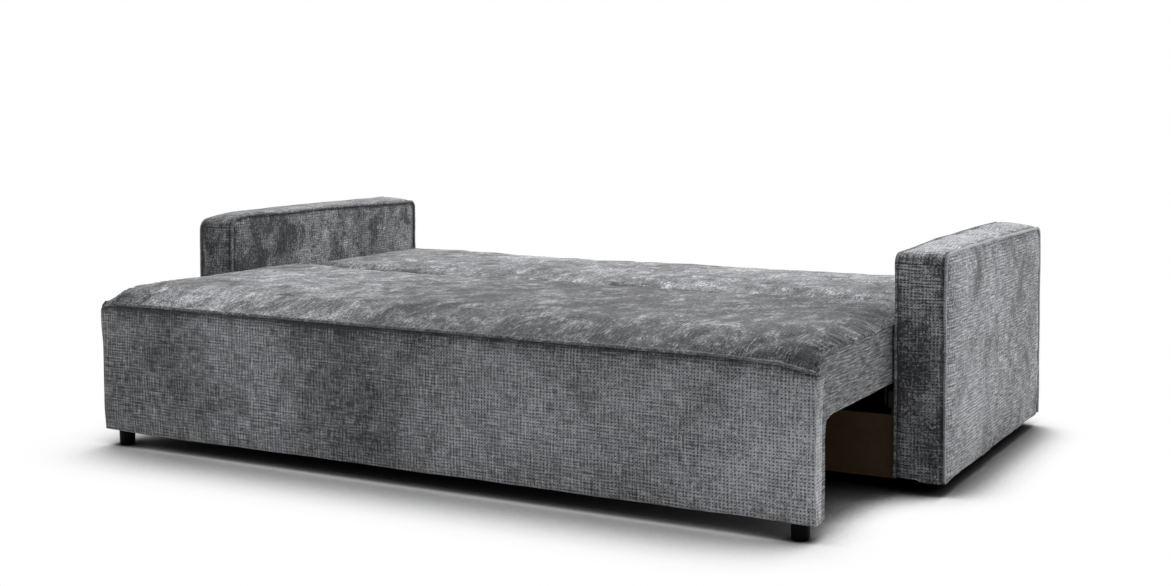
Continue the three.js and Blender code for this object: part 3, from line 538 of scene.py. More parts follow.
def chenille(name, lift, weave, worn, raised, size, fields, speckle, ribs=(1, 1), stretch=(1, 1, 1),
             grain=(420, 420, 420), torn=1.0, shade_and_light_parts=(), painted_light=(), joint=None, offset=(0, 0, 0)):
    """Crushed chenille: slubbed threads in two directions, open holes of the weave, and a nap
    that is worn dark and raised pale in ragged patches that break up along the threads.
    lift brightens the whole cloth; the pieces get copies of one chenille, each with its own lift,
    which paints light on some pieces and shade on others. weave and ribs set the depth of its
    threads, worn and raised the depth of the patches, size their number in a metre, stretch their
    lengthening, torn how far the threads break them up, and fields the depth of broad changes.
    speckle and grain are the depth and fineness of the fuzz. Each region (axis, from, to, amount)
    paints shade on one part as more worn nap, and paints light instead where its amount is
    negative. Each part given for painted light (axis, from, to, amount) is painted paler by its
    amount. joint is the height of a seam across the front, along which shade is painted as a dark
    line, and the depth where that line ends."""
    colours = bpy.context.scene.sofa_colours
    cloth = Finish(name)
    axes = cloth.add("ShaderNodeSeparateXYZ", {0: cloth.solid}).node.outputs
    flat = cloth.add("ShaderNodeUVMap", uv_map="weave")
    wander = cloth.noise((25, 25, 25), 2.0, source=flat).node.outputs["Color"]
    shifted = cloth.add(
        "ShaderNodeVectorMath", {0: wander, 1: (0.0030, 0.0030, 0.0)}, operation="MULTIPLY")
    threads = cloth.add("ShaderNodeVectorMath", {0: flat, 1: shifted}, operation="ADD")
    split = cloth.add("ShaderNodeSeparateXYZ", {0: threads}).node.outputs
    wave_x, wave_y = (
        cloth.maths("COSINE", cloth.times(split[axis], TAU / HOLE_SPACING[axis])) for axis in (0, 1))
    warp = cloth.noise((THREAD_RATE, 24, 1), 3.0, 0.65, threads)
    weft = cloth.noise((20, THREAD_RATE, 1), 3.0, 0.65, threads, (3.1, 7.7, 0))
    slub = cloth.noise((170, 110, 1), 2.0, 0.6, threads, (1.7, 2.3, 0))
    fuzz = cloth.noise(grain, 3.0, 0.75)
    warp_part = cloth.times(cloth.minus(warp, 0.5), ribs[0])
    lines = cloth.times_plus(cloth.minus(weft, 0.5), ribs[1], warp_part)
    ragged = cloth.times_plus(cloth.minus(slub, 0.5), 0.55, cloth.times(lines, 0.45))

    def parts(parts_of_cloth):
        total = None
        for axis, start, end, amount in parts_of_cloth:
            ramp = cloth.map_range(axes[axis], min(start, end), max(start, end), 0.0, amount, True)
            if start > end:
                ramp = cloth.minus(amount, ramp)
            total = ramp if total is None else cloth.plus(total, ramp)
        return total

    def patches(scale, place, low, high, extra=None):
        spots = cloth.noise(stretch, 5.0, 0.62, None, place, scale, 0.3)
        total = cloth.times_plus(ragged, torn, spots)
        if extra is not None:
            total = cloth.plus(total, extra)
        return cloth.map_range(total, low, high, smooth_step=True)

    # Painted shade and light by position: some parts are made more worn and others less worn
    dark_spots = patches(size, offset, 0.50, 0.62, parts(shade_and_light_parts))
    pale_spots = patches(size * 1.3, (offset[0] + 5, offset[1] + 3, offset[2] + 1), 0.52, 0.66)
    broad = cloth.noise(stretch, 2.0, 0.5, None, offset, size * 0.25)
    hole = cloth.times(cloth.maths("MINIMUM", wave_x, 0.0), cloth.maths("MINIMUM", wave_y, 0.0))
    hole = cloth.map_range(hole, 0.12, 0.60, smooth_step=True)
    hole = cloth.times(hole, cloth.map_range(slub, 0.34, 0.56))
    cord = cloth.map_range(cloth.maths("MAXIMUM", wave_x, wave_y), 0.55, 1.0, smooth_step=True)
    cord = cloth.times(cord, cloth.map_range(cloth.plus(warp, weft), 0.85, 1.15))
    # crease marks where shade is painted beside the seams, where the cloth lies in the shadow of piping and
    # folds
    crease = cloth.add("ShaderNodeAttribute", output=2, attribute_name="crease")
    shade = PLAIN_SHADE
    for feature, depth in (
            (lines, THREAD_SHADE * weave), (hole, HOLE_SHADE * weave), (cord, CORD_SHADE * weave),
            (dark_spots, -worn), (pale_spots, raised), (cloth.minus(broad, 0.5), fields * 2),
            (crease, CREASE_SHADE)):
        shade = cloth.times_plus(feature, depth, shade)
    # A dark line of painted shade along the seam across each arm's front
    if joint:
        height, front = joint
        away = cloth.maths("ABSOLUTE", cloth.minus(axes[2], height))
        line = cloth.map_range(away, 0.0006, 0.0022, 0.5, 0.0, True)
        line = cloth.times(line, cloth.map_range(axes[1], front, front + 0.01, 1.0, 0.0))
        shade = cloth.minus(shade, line)
    colour = cloth.ramp(
        shade, (0.0, scaled(colours.nap_dark, lift)), (MIDDLE_NAP, scaled(colours.nap_middle, lift)),
        (1.0, scaled(colours.nap_light, lift)))
    tint = cloth.map_range(fuzz, 0.3, 0.7, 1 - speckle, 1 + speckle, True)
    # Painted light: the given parts are made paler
    if painted_light:
        tint = cloth.times(tint, cloth.plus(parts(painted_light), 1.0))
    colour = cloth.add("ShaderNodeVectorMath", {0: colour, 3: tint}, operation="SCALE")
    relief = cloth.times_plus(hole, -0.5, shade)
    cloth.surface(
        base_color=colour, roughness=0.92, normal=cloth.bump(relief, 0.6, 0.0014), sheen_weight=0.2,
        sheen_roughness=0.45, specular_ior_level=0.16)


def fibreboard_finish():
    base = tuple(bpy.context.scene.sofa_colours.board)
    board = Finish("brown_fibreboard")
    blotch = board.noise((3, 3, 9), 4.0, 0.6)
    grain = board.noise((60, 60, 500), 3.0, 0.6)
    speck = board.noise((900, 900, 900), 2.0, 0.7)
    mix = board.times_plus(grain, 0.35, board.times(blotch, 0.65))
    mix = board.times_plus(board.minus(speck, 0.5), 0.25, mix)
    board.surface(
        base_color=board.ramp(mix, (0.25, scaled(base, 0.55)), (0.5, base), (0.8, scaled(base, 1.5))),
        roughness=board.map_range(speck, 0.3, 0.7, 0.55, 0.75),
        normal=board.bump(speck, 0.15, 0.0005), specular_ior_level=0.3)


def timber_finish():
    wood = Finish("planed_softwood")
    bend = wood.noise((2, 2, 6), 3.0)
    rings = wood.add(
        "ShaderNodeTexWave",
        {"Vector": wood.stretched((4, 12, 40)), "Scale": 1.0, "Distortion": 6.0, "Detail": 2.0,
         "Detail Scale": 1.5},
        wave_type="RINGS", rings_direction="Z")
    pores = wood.noise((40, 300, 600), 3.0, 0.6)
    mix = wood.times_plus(pores, 0.2, wood.times_plus(rings, 0.45, wood.times(bend, 0.4)))
    wood.surface(
        base_color=wood.ramp(
            mix, (0.2, (0.42, 0.26, 0.12)), (0.5, (0.56, 0.38, 0.20)), (0.85, (0.66, 0.48, 0.28))),
        roughness=0.65, normal=wood.bump(pores, 0.2, 0.0006))


def plastic_finish(name, base, rough):
    plastic = Finish(name)
    grain = plastic.noise((1400, 1400, 1400), 2.0, 0.6)
    scuff = plastic.noise((40, 40, 90), 4.0, 0.7)
    plastic.surface(
        base_color=plastic.ramp(scuff, (0.35, tuple(base)), (0.75, scaled(base, 1.9))),
        roughness=plastic.map_range(scuff, 0.3, 0.7, rough, rough + 0.14), specular_ior_level=0.04,
        normal=plastic.bump(grain, 0.12, 0.0003))


def steel_finish(name, base, metallic, rough):
    steel = Finish(name)
    spangle = steel.add(
        "ShaderNodeTexVoronoi", {"Vector": steel.stretched((90, 90, 90)), "Scale": 1.0}, output=1)
    grey = steel.add("ShaderNodeSeparateColor", {0: spangle})
    brushed = steel.noise((30, 30, 700), 3.0, 0.6)
    mix = steel.times_plus(grey, 0.25, steel.times(brushed, 0.75))
    steel.surface(
        base_color=steel.ramp(mix, (0.2, scaled(base, 0.72)), (0.8, base)), metallic=metallic,
        roughness=steel.map_range(mix, 0.2, 0.8, rough, rough + 0.18),
        normal=steel.bump(brushed, 0.08, 0.0004))


def woven_finish(name, base, stripe):
    """Straps and lining: a fine plain weave, ribbed along one direction."""
    cloth = Finish(name)
    split = cloth.add("ShaderNodeSeparateXYZ", {0: cloth.solid}).node.outputs
    ribs, rows = (cloth.maths("SINE", cloth.times(split[axis], TAU / stripe)) for axis in (0, 1))
    fibre = cloth.noise((600, 600, 600), 3.0, 0.7)
    height = cloth.times_plus(cloth.times(ribs, rows), 0.3, fibre)
    cloth.surface(
        base_color=cloth.ramp(height, (0.2, scaled(base, 0.5)), (0.8, scaled(base, 1.5))),
        roughness=0.9, normal=cloth.bump(height, 0.4, 0.0006))


def foam_finish():
    foam = Finish("seat_foam")
    cells = foam.add("ShaderNodeTexVoronoi", {"Vector": foam.stretched((700, 700, 700)), "Scale": 1.0})
    tint = foam.noise((8, 8, 8), 3.0)
    foam.surface(
        base_color=foam.ramp(tint, (0.3, (0.62, 0.54, 0.30)), (0.7, (0.76, 0.69, 0.42))),
        roughness=0.95, normal=foam.bump(cells, 0.5, 0.0008))


NODE_FINISHES = {
    "timber": "planed_softwood", "fibreboard": "brown_fibreboard", "lining": "black_lining",
    "foam": "seat_foam", "webbing": "strap_webbing", "foot_plastic": "black_foot",
    "roller_plastic": "roller_nylon", "painted_steel": "black_paint", "zinc_steel": "bright_zinc",
    "upholstery": "chenille_front", "piping": "chenille_piping",
}


def dress_solids():
    """Every solid that stays on view gets the finish of its slot."""
    slots = {part["node"]: part["material_slot"] for part in frame["record"]["subparts"]}
    for name, node in frame["nodes"].items():
        put_finish(node, NODE_FINISHES[slots[name]])


# Arms

ARM_CROWN = 0.005
ARM_SIDE_CROWN = 0.0035
ARM_FRONT = ARM_LOW.y + ARM_CROWN
ARM_TOP = ARM_HIGH.z - ARM_CROWN
ARM_HEM = ARM_LOW.z
ARM_INNER = ARM_LOW.x
ARM_OUTER = ARM_HIGH.x - ARM_SIDE_CROWN
ARM_THICKNESS = ARM_OUTER - ARM_INNER
ARM_DEPTH = ARM_HIGH.y - ARM_CROWN - ARM_FRONT
ARM_BAND = ARM_TOP - ARM_HEM
BAND_STEP_SHARES = (0.03, 0.05, 0.08, 0.12, 0.15, 0.14, 0.15, 0.12, 0.08, 0.05, 0.03)
# How far an arm's rounded edge, the pull of its seams and their tuck reach, and the strength of the
# shade painted beside the seams of the right outer panel, which is fainter on that lit panel
EDGE_REACH = 0.05
PULL_REACH = 0.022
TUCK_REACH = 0.03
FAINT_SEAM_SHADE = 0.25
REAR_BOW = 0.0045
# The loose fold at each arm's lower front corner
FOLD_OUT = 0.004
FOLD_DOWN = 0.006
# Spacing of the piping's places, and the share of its radius by which its core stands off the seam
WELT_STEP = 0.006
WELT_PROUD = 0.62
# The seam across each arm's front, below its top, along which shade is painted as a dark line,
# and the top band, on which light is painted as less worn nap
FRONT_JOINT = (ARM_TOP - 0.031, ARM_FRONT + 0.02)
LIT_TOP_BAND = (2, 0.545, 0.572)

# Height of each arm's seams over the straight line, as (share of the depth, share of the crown)
SEAM_SHARES = {
    ("right", "outer"): ((0, -2.2), (0.03, -1.1), (0.09, 0), (0.45, 0), (0.72, -1.2), (1, -1.7)),
    ("right", "inner"): ((0, -1.8), (0.08, -1.2), (0.17, -0.8), (0.35, 0.4), (1, 0.4)),
    ("left", "inner"): ((0, 0), (0.08, 1.2), (0.55, 0.8), (1, -0.8)),
    ("left", "outer"): ((0, -2.4), (0.03, -1.6), (0.09, 0), (0.24, 1.4), (1, 1.2)),
}
# The right arm's outer piping gets the lit copy of the piping, the left's the plain copy, and the inner
# pipings the shaded copy: painted light and shade
ARM_PIPING = {("right", "outer"): "chenille_piping_pale", ("left", "outer"): "chenille_piping"}


def make_finishes():
    colours = bpy.context.scene.sofa_colours
    # Each piece gets its own copy of one chenille with its own lift: painted light and shade for how the
    # lamps fall on each piece, paler on the backrest and the right arm, darker on the seat's ends
    top = {"weave": 0.7, "ribs": (1.8, 0.5), "worn": 0.46, "size": 17, "stretch": (1, 0.75, 1),
           "fields": 0.55, "speckle": 0.75, "grain": (210, 95, 210), "torn": 0.7}
    plain_welt = {"weave": 0.4, "worn": 0.12, "raised": 0.1, "size": 60, "fields": 0.1, "speckle": 0.3}
    # The front is painted paler towards its bottom and its left, and more worn along its top: painted light
    # and shade
    chenille("chenille_front", 1.29, weave=1.5, worn=0.26, raised=0.10, size=6, fields=0.9, speckle=0.35,
             grain=(300, 300, 300), shade_and_light_parts=((2, 0.26, 0.37, 0.05),),
             painted_light=((2, 0.36, 0.08, 0.45), (0, 0.15, -0.25, 0.30)))
    # The seat is painted paler towards its left end and more worn towards its right: painted light and shade
    chenille("chenille_seat", 1.30, raised=0.50, offset=(0.3, 0.1, 0), shade_and_light_parts=((0, -0.9, 0.4, 0.12),),
             painted_light=((0, 0.1, -1.0, 0.42),), **top)
    chenille("chenille_back", 1.5, raised=0.55, offset=(2.3, 1.1, 0), **top)
    chenille("chenille_side", 0.97, weave=1.4, ribs=(0.4, 2.6), worn=0.16, raised=0.1, size=26,
             stretch=(1, 0.3, 2), fields=0.2, speckle=0.5, grain=(300, 120, 420))
    # The right arm is painted paler on its top and darker on its front face: painted light and shade
    chenille("chenille_arm_right", 1.68, weave=1.9, ribs=(0.8, 1.4), worn=0.64, raised=0.12, size=10,
             stretch=(1, 1, 0.7), fields=0.3, speckle=0.4, grain=(380, 260, 380), torn=1.3,
             joint=FRONT_JOINT, offset=(0.7, 0.2, 0.4),
             shade_and_light_parts=((1, ARM_FRONT + 0.005, ARM_FRONT + 0.03, -0.04), (*LIT_TOP_BAND, -0.1)),
             painted_light=((2, 0.55, 0.575, 0.35),))
    # The left arm is painted paler on its top and its front face, and more worn towards its front: painted
    # light and shade
    chenille("chenille_arm_left", 1.36, weave=1.3, worn=0.66, raised=0.24, size=17, stretch=(1, 1, 0.8),
             fields=0.4, speckle=0.6, grain=(260, 260, 260), torn=1.2,
             joint=FRONT_JOINT, offset=(4.7, 0.9, 0.8),
             shade_and_light_parts=((1, ARM_FRONT + 0.42, ARM_FRONT + 0.22, 0.06), (*LIT_TOP_BAND, -0.14),
                      (1, ARM_FRONT + 0.03, ARM_FRONT + 0.005, -0.09)),
             painted_light=((2, 0.55, 0.575, 0.3),))
    # Shaded, plain and lit copies of one piping: painted shade and painted light
    chenille("chenille_piping_dark", 1.0, weave=0.4, worn=0.2, raised=0.5, size=50, fields=0.1,
             speckle=0.7, grain=(200, 200, 200))
    chenille("chenille_piping", 1.2, **plain_welt)
    chenille("chenille_piping_pale", 2.1, **plain_welt)
    fibreboard_finish()
    timber_finish()
    foam_finish()
    plastic_finish("black_foot", colours.foot, 0.38)
    plastic_finish("roller_nylon", (0.022, 0.022, 0.024), 0.42)
    steel_finish("bright_zinc", (0.50, 0.51, 0.53), 1.0, 0.34)
    steel_finish("black_paint", (0.035, 0.035, 0.038), 0.0, 0.42)
    woven_finish("strap_webbing", (0.035, 0.035, 0.04), 0.0016)
    woven_finish("black_lining", (0.014, 0.014, 0.015), 0.0009)


def seam_lift(side, face, depth, height):
    """How far the top of a seam rises or drops, fading to nothing down the front and rear."""
    lift = np.interp(depth / ARM_DEPTH, *zip(*SEAM_SHARES[side, face])) * ARM_CROWN
    wobble = ripple_along(depth, 0.16, 5 + len(side) + len(face)) * 0.0011
    return (lift + wobble) * np.clip((height - ARM_BAND * 0.55) / (ARM_BAND * 0.45), 0, 1) ** 2


def outward_from_core(depth, height):
    """Directions in an arm's side view from the core that its rounded edge runs round."""
    sizes = chosen_sizes()
    core = columns(
        np.clip(depth, sizes.front_radius, ARM_DEPTH - sizes.rear_radius),
        np.clip(height, 0, ARM_BAND - sizes.front_radius))
    outward = columns(depth, height) - core
    return outward / np.maximum(np.linalg.norm(outward, axis=1), 1e-6)[:, None]


def arm_points(side, cells):
    """Flat cells (depth, height, thickness) shaped to the arm, right-hand side, at the origin."""
    sizes = chosen_sizes()
    dip = sizes.seam_dip
    depth, height, across = cells.T.copy()
    share = across / ARM_THICKNESS
    edge = np.minimum.reduce([depth, ARM_DEPTH - depth, ARM_BAND - height])
    depth, height = round_corners(depth, height, sizes.front_radius, (0, ARM_BAND))
    depth, height = round_corners(depth, height, sizes.rear_radius, (ARM_DEPTH, ARM_BAND))
    near_seam = np.minimum(across, ARM_THICKNESS - across)
    pull = dip * (1 - rise(near_seam, PULL_REACH)) * fade(edge, EDGE_REACH)
    outward = outward_from_core(depth, height) * (edge < EDGE_REACH)[:, None]
    depth = depth - outward[:, 0] * pull
    height = height - outward[:, 1] * pull
    tuck = np.where(near_seam < 1e-6, dip * (1 - rise(edge, TUCK_REACH)), 0)
    across = across + np.where(share < 0.5, tuck, -tuck)
    inner, outer = (seam_lift(side, face, depth, height) for face in ("inner", "outer"))
    height = height + ((1 - share) * inner + share * outer)
    bow = np.sin(np.pi * np.clip(height / ARM_BAND, 0, 1)) * np.clip(depth / ARM_DEPTH * 8 - 7, 0, 1)
    band_ripple = ripple(columns(height, share), 0.11, 41 + len(side)) * 0.0011
    depth = depth + REAR_BOW * bow + band_ripple
    panel_ripple = ripple(columns(depth, height), 0.13, 47 + len(side)) * 0.0010
    across = across + panel_ripple * (share * 2 - 1)
    return columns(depth, height, across), edge


def arm_to_place(side, shaped):
    depth, height, across = shaped.T
    return columns(SIDES[side] * (ARM_INNER + across), ARM_FRONT + depth, ARM_HEM + height)


def arm_cover(side):
    """Cover of one arm, open below: two panels and the band between them, with a loose hem."""
    piece = fine_sheet(f"arm_upholstery_{side}", ARM_DEPTH, ARM_BAND)
    thicken(piece, [share * ARM_THICKNESS for share in BAND_STEP_SHARES])
    with picked(piece, chosen=normals_of(piece)[:, 1] < -0.5):
        bpy.ops.mesh.delete(type="ONLY_FACE")
    cells = points_of(piece)
    shaped, edge = arm_points(side, cells)
    place_points(piece, arm_to_place(side, shaped))
    face_outwards(piece)
    near_seam = np.minimum(cells[:, 2], ARM_THICKNESS - cells[:, 2])
    on_panel = near_seam < ON_BORDER
    lit_outer_panel = on_panel & (side == "right") & (cells[:, 2] > ARM_THICKNESS / 2)
    from_seam = np.where(on_panel, edge, near_seam)
    # Shade is painted beside the seams, fainter on the right arm's outer panel, which the light falls on
    mark_crease(piece, np.where(lit_outer_panel, FAINT_SEAM_SHADE, 1) * beside(from_seam, 1.35, 0.012))
    held = (on_panel & (edge < ON_BORDER)) | (cells[:, 1] < ON_BORDER)
    limit = np.where(cells[:, 2] < ON_BORDER, 0.0012, np.where(on_panel, 0.006, 0.007))
    settle_as_cloth(piece, held, pressure=2.2, slack=0.012, limit=limit)
    refine(piece)
    points = points_of(piece)
    low = fade(points[:, 2] - ARM_HEM, EDGE_REACH)
    outside = np.abs(points[:, 0]) > (ARM_INNER + ARM_OUTER) / 2
    points[:, 2] += low * ripple(points[:, :2], 0.22, 17 + SIDES[side]) * 0.0009
    crease = ripple(points, 0.06, 23 + SIDES[side]) * low * 0.0015
    points[:, 0] += SIDES[side] * crease * outside
    fold = low * fade(points[:, 1] - ARM_FRONT, EDGE_REACH) * outside
    points[:, 0] += SIDES[side] * FOLD_OUT * fold
    points[:, 2] -= FOLD_DOWN * fold
    place_points(piece, points)
    dress_cover(piece, f"chenille_arm_{side}", "base", f"arm_cover_{side}", angle=55,
                cloth=ARM_CLOTH)


def arm_seam_path(side, face):
    """Places along a seam of an arm, from the hem up the front, over the top and down the rear."""
    up = np.arange(0, ARM_BAND, WELT_STEP)
    over = np.arange(0, ARM_DEPTH, WELT_STEP)
    depth = np.concatenate([up * 0, over, up * 0 + ARM_DEPTH])
    height = np.concatenate([up, over * 0 + ARM_BAND, up[::-1]])
    across = depth * 0 + (0 if face == "inner" else ARM_THICKNESS)
    shaped = arm_points(side, columns(depth, height, across))[0]
    apart = np.linalg.norm(np.diff(shaped, axis=0), axis=1) > 0.0015
    shaped = shaped[np.concatenate([[True], apart])]
    proud = chosen_sizes().piping * WELT_PROUD
    shaped[:, :2] += outward_from_core(shaped[:, 0], shaped[:, 1]) * proud
    shaped[:, 2] += -proud if face == "inner" else proud
    return arm_to_place(side, shaped)


# Seat

SEAT_HALF = SEAT_HIGH.x
SEAT_WIDTH = 2 * SEAT_HALF
SEAT_DEPTH = SEAT_HIGH.y - SEAT_LOW.y
FRONT_SEAM = SEAT_LOW.z
REAR_ROLL = 0.018
REAR_DROP = 0.006
CORNER_RADIUS = 0.010
SWELL_WIDTH = 0.08
GATHER_REACH = 0.055
BLOCK_CELL = 0.02
# Room that an end cover leaves the wood, how far it lies within the seat's end, and how far its
# border turns in behind the cheek and below the rail
WOOD_GAP = 0.004
END_INSET = 0.0022
CHEEK_RETURN = 0.072
RAIL_RETURN = 0.021
# How far the front piping stops short of the seat's ends, left and right
WELT_STOPS = (0.015, 0.0025)

# The front seam from left to right, and the seam along each end from front to rear
FRONT_SEAM_LINE = (
    (-1.004, -0.018), (-0.998, -0.010), (-0.988, -0.0045), (-0.966, -0.002), (-0.85, 0), (0.74, 0),
    (0.85, -0.002), (0.92, -0.006), (0.977, -0.017), (1.006, -0.022))
END_SEAM_LINE = (
    (0.02, 0.003), (0.07, 0.014), (0.126, 0.019), (0.22, 0.015), (0.376, 0.018), (0.5, 0.015),
    (0.82, 0.012))
# Depth over which the end seam leaves the front seam, left and right
SEAM_TURN = (0.012, 0.03)
# How far the cover stands out beyond the seat's ends at the front, over height
SWELL_LINES = {
    "left": ((0.04, 0.002), (0.10, 0.008), (0.27, 0.010), (0.355, 0.021), (0.385, 0.017)),
    "right": ((0.04, 0.001), (0.27, 0.001), (0.355, 0.005), (0.385, 0.004)),
}


def front_seam(x):
    return FRONT_SEAM + np.interp(x, *zip(*FRONT_SEAM_LINE))


def end_seam(side_x, depth):
    start = front_seam(np.sign(side_x) * SEAT_HALF)
    along = FRONT_SEAM + np.interp(depth, *zip(*END_SEAM_LINE))
    return start + (along - start) * np.clip(depth / np.where(side_x < 0, *SEAM_TURN), 0, 1)


def swell_corners(points):
    """Lets the cover stand out beyond the seat's ends near its front, more on the left."""
    for name, side in SIDES.items():
        share = np.clip((points[:, 0] * side - SEAT_HALF + SWELL_WIDTH) / SWELL_WIDTH, 0, 1) ** 2
        reach = fade(points[:, 1] - SEAT_LOW.y, 0.05)
        points[:, 0] += side * share * reach * np.interp(points[:, 2], *zip(*SWELL_LINES[name]))
    return points


def seat_height(across, depth):
    """Height of the seat's top over points given from its left front corner."""
    sizes = chosen_sizes()
    from_side = np.minimum(across, SEAT_WIDTH - across)
    from_rear = SEAT_DEPTH - depth
    crown = FRONT_SEAM + sizes.seat_rise
    share = depth / (depth + from_side + 1e-6)
    x = across - SEAT_HALF
    edge = front_seam(x) * (1 - share) + end_seam(x, depth) * share
    side_reach = np.where(x < 0, 0.32, 1) * sizes.side_reach
    front_reach = np.interp(x, (-1.0, -0.7), (0.55, 1)) * sizes.front_reach
    swell = rise(depth, front_reach, 2.6) * rise(from_side, side_reach, 2.4)
    height = edge + (crown - edge) * swell
    flat = columns(across, depth)
    soft = ripple(flat * (0.6, 1.0), 0.34, 41) * 0.0022 + ripple(flat, 0.13, 42) * 0.0009
    height = height + soft * rise(depth, 0.16) * rise(from_side, 0.16)
    roll = 1 - np.sqrt(1 - np.clip(1 - from_rear / (REAR_ROLL * 2), 0, 1) ** 2)
    return height - REAR_ROLL * roll - REAR_DROP * fade(from_rear, 0.2)


def seat_top():
    """Crowned cover of the seat, which rolls down to the backrest at its rear."""
    piece = fine_sheet("seat_upholstery", SEAT_WIDTH, SEAT_DEPTH)
    across, depth = points_of(piece)[:, :2].T
    # Shade painted along the rear seam, where the seat meets the backrest, fainter towards the left
    mark_crease(piece, beside(SEAT_DEPTH - depth, 1.3, 0.012) * np.interp(across, (0, 1.2), (0.2, 1)))
    height = seat_height(across, depth)
    u, v = round_corners(across, depth, CORNER_RADIUS, (0, 0), (SEAT_WIDTH, 0))
    place_points(piece, columns(u - SEAT_HALF, v + SEAT_LOW.y, height))
    settle_as_cloth(piece, open_border_points(piece), **TOP_SETTLING)
    refine(piece)
    x, y, _ = centres_of(piece).T
    near_seams = np.minimum.reduce([x + SEAT_HALF, SEAT_HALF - x, y - SEAT_LOW.y]) < GATHER_REACH
    with picked(piece, chosen=near_seams):
        bpy.ops.mesh.subdivide(number_cuts=1, smoothness=0)
    gather_seat(piece)
    place_points(piece, swell_corners(points_of(piece)))
    close_below(piece)
    dress_cover(piece, "chenille_seat", "seat", "seat_cushion", angle=70)


def gather_seat(piece):
    """Small gathers that run away from the front seam and, stronger, from the end seams."""
    gather = chosen_sizes().gather
    points = points_of(piece)
    x, y = points[:, 0], points[:, 1]
    side = np.sign(x)
    front = np.maximum(y - SEAT_LOW.y, 0)
    end = np.maximum(SEAT_HALF - np.abs(x), 0)

    def gathers(flat, size, seed, broad_size, plain, least, most):
        even = np.clip(ripple(flat, size, seed), -1, 1)
        return even * np.clip(plain + ripple(flat, broad_size, seed + 1), least, most)

    pulls = gathers(columns(x, front * 0.25), 0.028, 51, 0.3, 0.6, 0, 1.4)
    height = pulls * gather * fade(front, GATHER_REACH) * rise(front, 0.006)
    pulls = gathers(columns(y + side, end * 0.35), 0.025, 53, 0.25, 0.8, 0.2, 1.6)
    height += pulls * gather * np.where(x > 0, 2.1, 1.6) * fade(end, GATHER_REACH) * rise(end, 0.006)
    tucks = np.clip(ripple_along(y + side, 0.030, 55), -1.2, 1.2)
    points[:, 2] += tucks * 0.0022 * fade(end, 0.012)
    points[:, 0] += side * tucks * 0.0010 * fade(end, 0.02)
    points[:, 2] += height
    place_points(piece, points)


def close_below(piece):
    """Turns the open border down a little and closes the underside with one face."""
    with picked(piece, "edges", open_border(piece)):
        bpy.ops.mesh.extrude_edges_move(TRANSFORM_OT_translate={"value": (0, 0, -0.004)})
        bpy.ops.mesh.edge_face_add()
    face_outwards(piece)


def front_panel():
    """Cover of the front board, whose top droops into the corners with the seam."""
    height = FRONT_HIGH.z - FRONT_LOW.z
    piece = fine_sheet("front_upholstery", SEAT_WIDTH, height)
    u, v = points_of(piece)[:, :2].T
    # Shade painted below the piping along the panel's top seam
    mark_crease(piece, beside(height - v, 1.4, 0.014))
    u, v = round_corners(u, v, CORNER_RADIUS, (0, height), (SEAT_WIDTH, height))
    hem = fade(v, 0.05) * ripple_along(u, 0.24, 61) * 0.0018
    drop = (front_seam(u - SEAT_HALF) - FRONT_SEAM) * np.clip(v / height, 0, 1) ** 6
    place_points(piece, columns(u - SEAT_HALF, u * 0 + FRONT_LOW.y, v + hem + drop + FRONT_LOW.z))
    face_outwards(piece)
    face_towards(piece, 1, -1)
    settle_as_cloth(piece, open_border_points(piece), pressure=0.5, slack=0.004, limit=0.0035)
    refine(piece)
    place_points(piece, swell_corners(points_of(piece)))
    wrap_back(piece, FRONT_HIGH.y - FRONT_LOW.y + 0.012)
    dress_cover(piece, "chenille_front", "seat", "front_panel_cover", angle=60,
                cloth=PANEL_CLOTH)


def wrap_back(piece, reach):
    """Rolls the border of an upright panel round the board behind it."""
    points = points_of(piece)
    middle = (points.min(0) + points.max(0)) / 2
    half = (points.max(0) - points.min(0)) / 2
    inner = half - np.abs(points - middle)
    edge = np.minimum(inner[:, 0], inner[:, 2])
    for inset, depth in ((0.008, 0.0046), (0.004, 0.0022), (0.0016, 0.0004)):
        points[:, 1] += np.where(edge < inset, depth * (1 - edge / inset) ** 2, 0) * 0.5
    place_points(piece, points)
    with picked(piece, "edges", open_border(piece)):
        bpy.ops.mesh.extrude_edges_move(TRANSFORM_OT_translate={"value": (0, reach, 0)})


def shaped_block(name, node, limit):
    """A block in place of a node, whose top keeps below a limit over its points (x, y)."""
    low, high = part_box(node)
    size = high - low
    piece = flat_sheet(name, size.x, size.z, BLOCK_CELL)
    thicken(piece, [size.y / 3] * 3)
    u, w, v = points_of(piece).T
    x, y, z = u + low.x, v + low.y, w + low.z
    z = np.minimum(z, low.z + (limit(x, y) - low.z) * (z - low.z) / size.z)
    place_points(piece, columns(x, y, z))
    face_outwards(piece)
    break_edges(piece, width=0.002, segments=2, angle=50)
    smooth(piece, 45)
    return piece


def seat_padding():
    """The front board and the foam, whose corners are cut where the cover droops."""
    board = shaped_block("front_board", "front_panel_board", lambda x, y: front_seam(x) - 0.012)
    dress(board, "brown_fibreboard", "seat", "front_panel_board")
    foam = shaped_block(
        "foam_slab", "seat_foam",
        lambda x, y: seat_height(x + SEAT_HALF, np.clip(y - SEAT_LOW.y, 0, 0.3)) - 0.006)
    dress(foam, "seat_foam", "seat", "seat_foam")


def line_up(values, line, span):
    """Moves the grid line nearest to a place on to it, and the others between it and the borders."""
    lines = np.unique(values.round(6))
    nearest = lines[np.argmin(np.abs(lines - line))]
    return np.interp(values, (0, nearest, span), (0, line, span))


